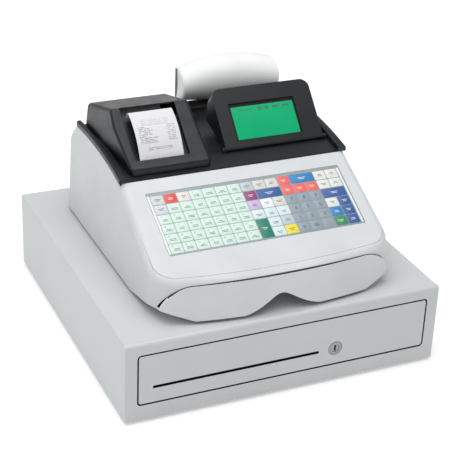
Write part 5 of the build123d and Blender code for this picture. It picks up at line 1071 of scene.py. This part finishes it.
class REGISTER_OT_operator_display(bpy.types.Operator):
    """Tilting wedge with a green screen in a black surround"""
    bl_idname = "register.operator_display"
    bl_label = "Operator display"

    def execute(self, context):
        body = "operator_display"
        shell("display_housing", body, "console_black", 0.5)
        shell("display_back", body, "console_black", 0.5)
        # The glass round the lit screen is near black.
        shell("display_glass", body, "lcd", 0.2, "black_and_painted_shade")
        flat = panel_frame(0, 0).inverted()
        front = max((flat @ point.co).z for point in NODES["display_glass"].data.vertices)
        x, up = SCREEN_AT[0] * MM, SCREEN_AT[1] * MM
        screen = moved(pad_mm("screen", SCREEN), panel_frame(x, up, front + SCREEN_LIFT * MM))
        dress(settle(screen), body, "lcd")
        self.marks(body, x, up + (SCREEN_HEIGHT / 2 - SCREEN_MARKS_DOWN) * MM,
                   front + (SCREEN_LIFT + SCREEN_RISE * (1 + PAD_CROWN)) * MM)
        return {"FINISHED"}

    def marks(self, body, middle, up, out):
        """A faint row of dark segments along the screen's upper edge."""
        made = []
        bar = pad("screen_bar", 1.0, 1.0, 0, SCREEN_MARK_RISE * MM)
        for start, length, height in SCREEN_MARKS:
            spot = panel_frame(middle + (start + length / 2) * MM, up, out)
            scale = Matrix.Diagonal((length * MM, height * MM, 1, 1))
            made.append(moved(copy_of(bar, "mark"), spot @ scale))
        bpy.data.objects.remove(bar)
        dress(settle(joined(made, "screen_marks")), body, "lcd_mark")


# ---- customer's display

# The lit segments of a nought: across and up from its middle, as shares of half its height,
# and whether the segment lies flat
NOUGHT = (
    (0, 1, True), (0.5, 0.5, False), (0.5, -0.5, False),
    (0, -1, True), (-0.5, -0.5, False), (-0.5, 0.5, False),
)
FIGURES = 3

# Sizes of the figures, in millimetres; a segment and the point are pads
FIGURE_HALF = 9.0
FIGURE_PITCH = 16.0
FIGURES_LEFT = 14.0         # how far the middle figure stands from the lens's middle
SEGMENT = (7.4, 1.7, 0.8, 0.05)
POINT = (2.0, 2.0, 0.7, 0.05)
POINT_LEFT = 6.0
FIGURES_LIFT = 0.02
BEZEL_FACES_UP = 0.4        # of the normal, where the bezel's upper edge starts


class REGISTER_OT_customer_display(bpy.types.Operator):
    """Swivelling head with a smoked window and lit figures"""
    bl_idname = "register.customer_display"
    bl_label = "Customer display"

    def execute(self, context):
        body = "customer_display"
        shell("head_stem", body, "case_white", 0.3)
        # The head's shell takes the paler copy of the case plastic: painted light.
        shell("head_shell", body, "case_white", 0.4, "head_white_painted_light")
        bezel = shell("head_bezel", body, "console_black", 0.5)
        # The black back ends at the rim, so its upper edge takes the shell's paler white, with its
        # painted light.
        tint(bezel, "head_white_painted_light", lambda centre, normal: normal.z > BEZEL_FACES_UP)
        shell("head_lens", body, "lens", 0.4)
        self.figures(body)
        return {"FINISHED"}

    def figures(self, body):
        """Seven-segment figures that read 0.00 towards the customer."""
        low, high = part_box("head_lens")
        middle, half = (low + high) / 2, FIGURE_HALF * MM
        out = high.y + FIGURES_LIFT * MM
        flat = Matrix.Rotation(math.pi, 4, "Z") @ Matrix.Rotation(math.pi / 2, 4, "X")
        upright = flat @ Matrix.Rotation(math.pi / 2, 4, "Z")
        master = pad_mm("segment", SEGMENT)
        made = []
        for number in range(FIGURES):
            x = middle.x - (number - 1) * FIGURE_PITCH * MM - FIGURES_LEFT * MM
            for across, up, lies_flat in NOUGHT:
                spot = Matrix.Translation((x + across * half, out, middle.z + up * half))
                turn = flat if lies_flat else upright
                made.append(moved(copy_of(master, "segment"), spot @ turn))
        spot = Matrix.Translation((middle.x - POINT_LEFT * MM, out, middle.z - half))
        made.append(moved(pad_mm("point", POINT), spot @ flat))
        bpy.data.objects.remove(master)
        dress(settle(joined(made, "display_figures")), body, "segment")


# ---- panel and registration

PIECES = (
    REGISTER_OT_cabinet, REGISTER_OT_drawer, REGISTER_OT_case, REGISTER_OT_keyboard,
    REGISTER_OT_printer, REGISTER_OT_operator_display, REGISTER_OT_customer_display,
)
GROUPS = (
    ("register_colours", RegisterColours), ("register_keyboard", RegisterKeyboard),
    ("register_stage", RegisterStage),
)


class REGISTER_PT_panel(bpy.types.Panel):
    """Lists the register's pieces and settings"""
    bl_idname = "REGISTER_PT_panel"
    bl_label = "Ticket register"
    bl_space_type = "VIEW_3D"
    bl_region_type = "UI"
    bl_category = "Register"

    def draw(self, context):
        for piece in (REGISTER_OT_stage, *PIECES):
            self.layout.operator(piece.bl_idname)
        for group, kind in GROUPS:
            box = self.layout.box()
            for name in kind.__annotations__:
                box.prop(getattr(context.scene, group), name)


CLASSES = (REGISTER_OT_stage, *PIECES, REGISTER_PT_panel)


def register():
    for name, group in GROUPS:
        bpy.utils.register_class(group)
        setattr(bpy.types.Scene, name, PointerProperty(type=group))
    for kind in CLASSES:
        bpy.utils.register_class(kind)


def unregister():
    for kind in reversed(CLASSES):
        bpy.utils.unregister_class(kind)
    for name, group in reversed(GROUPS):
        delattr(bpy.types.Scene, name)
        bpy.utils.unregister_class(group)


def main():
    register()
    FINISH.update(make_finishes(bpy.context.scene.register_colours))
    bpy.ops.register.stage()
    for piece in PIECES:
        getattr(bpy.ops.register, piece.bl_idname.split(".")[1])()


if __name__ == "__main__":
    main()
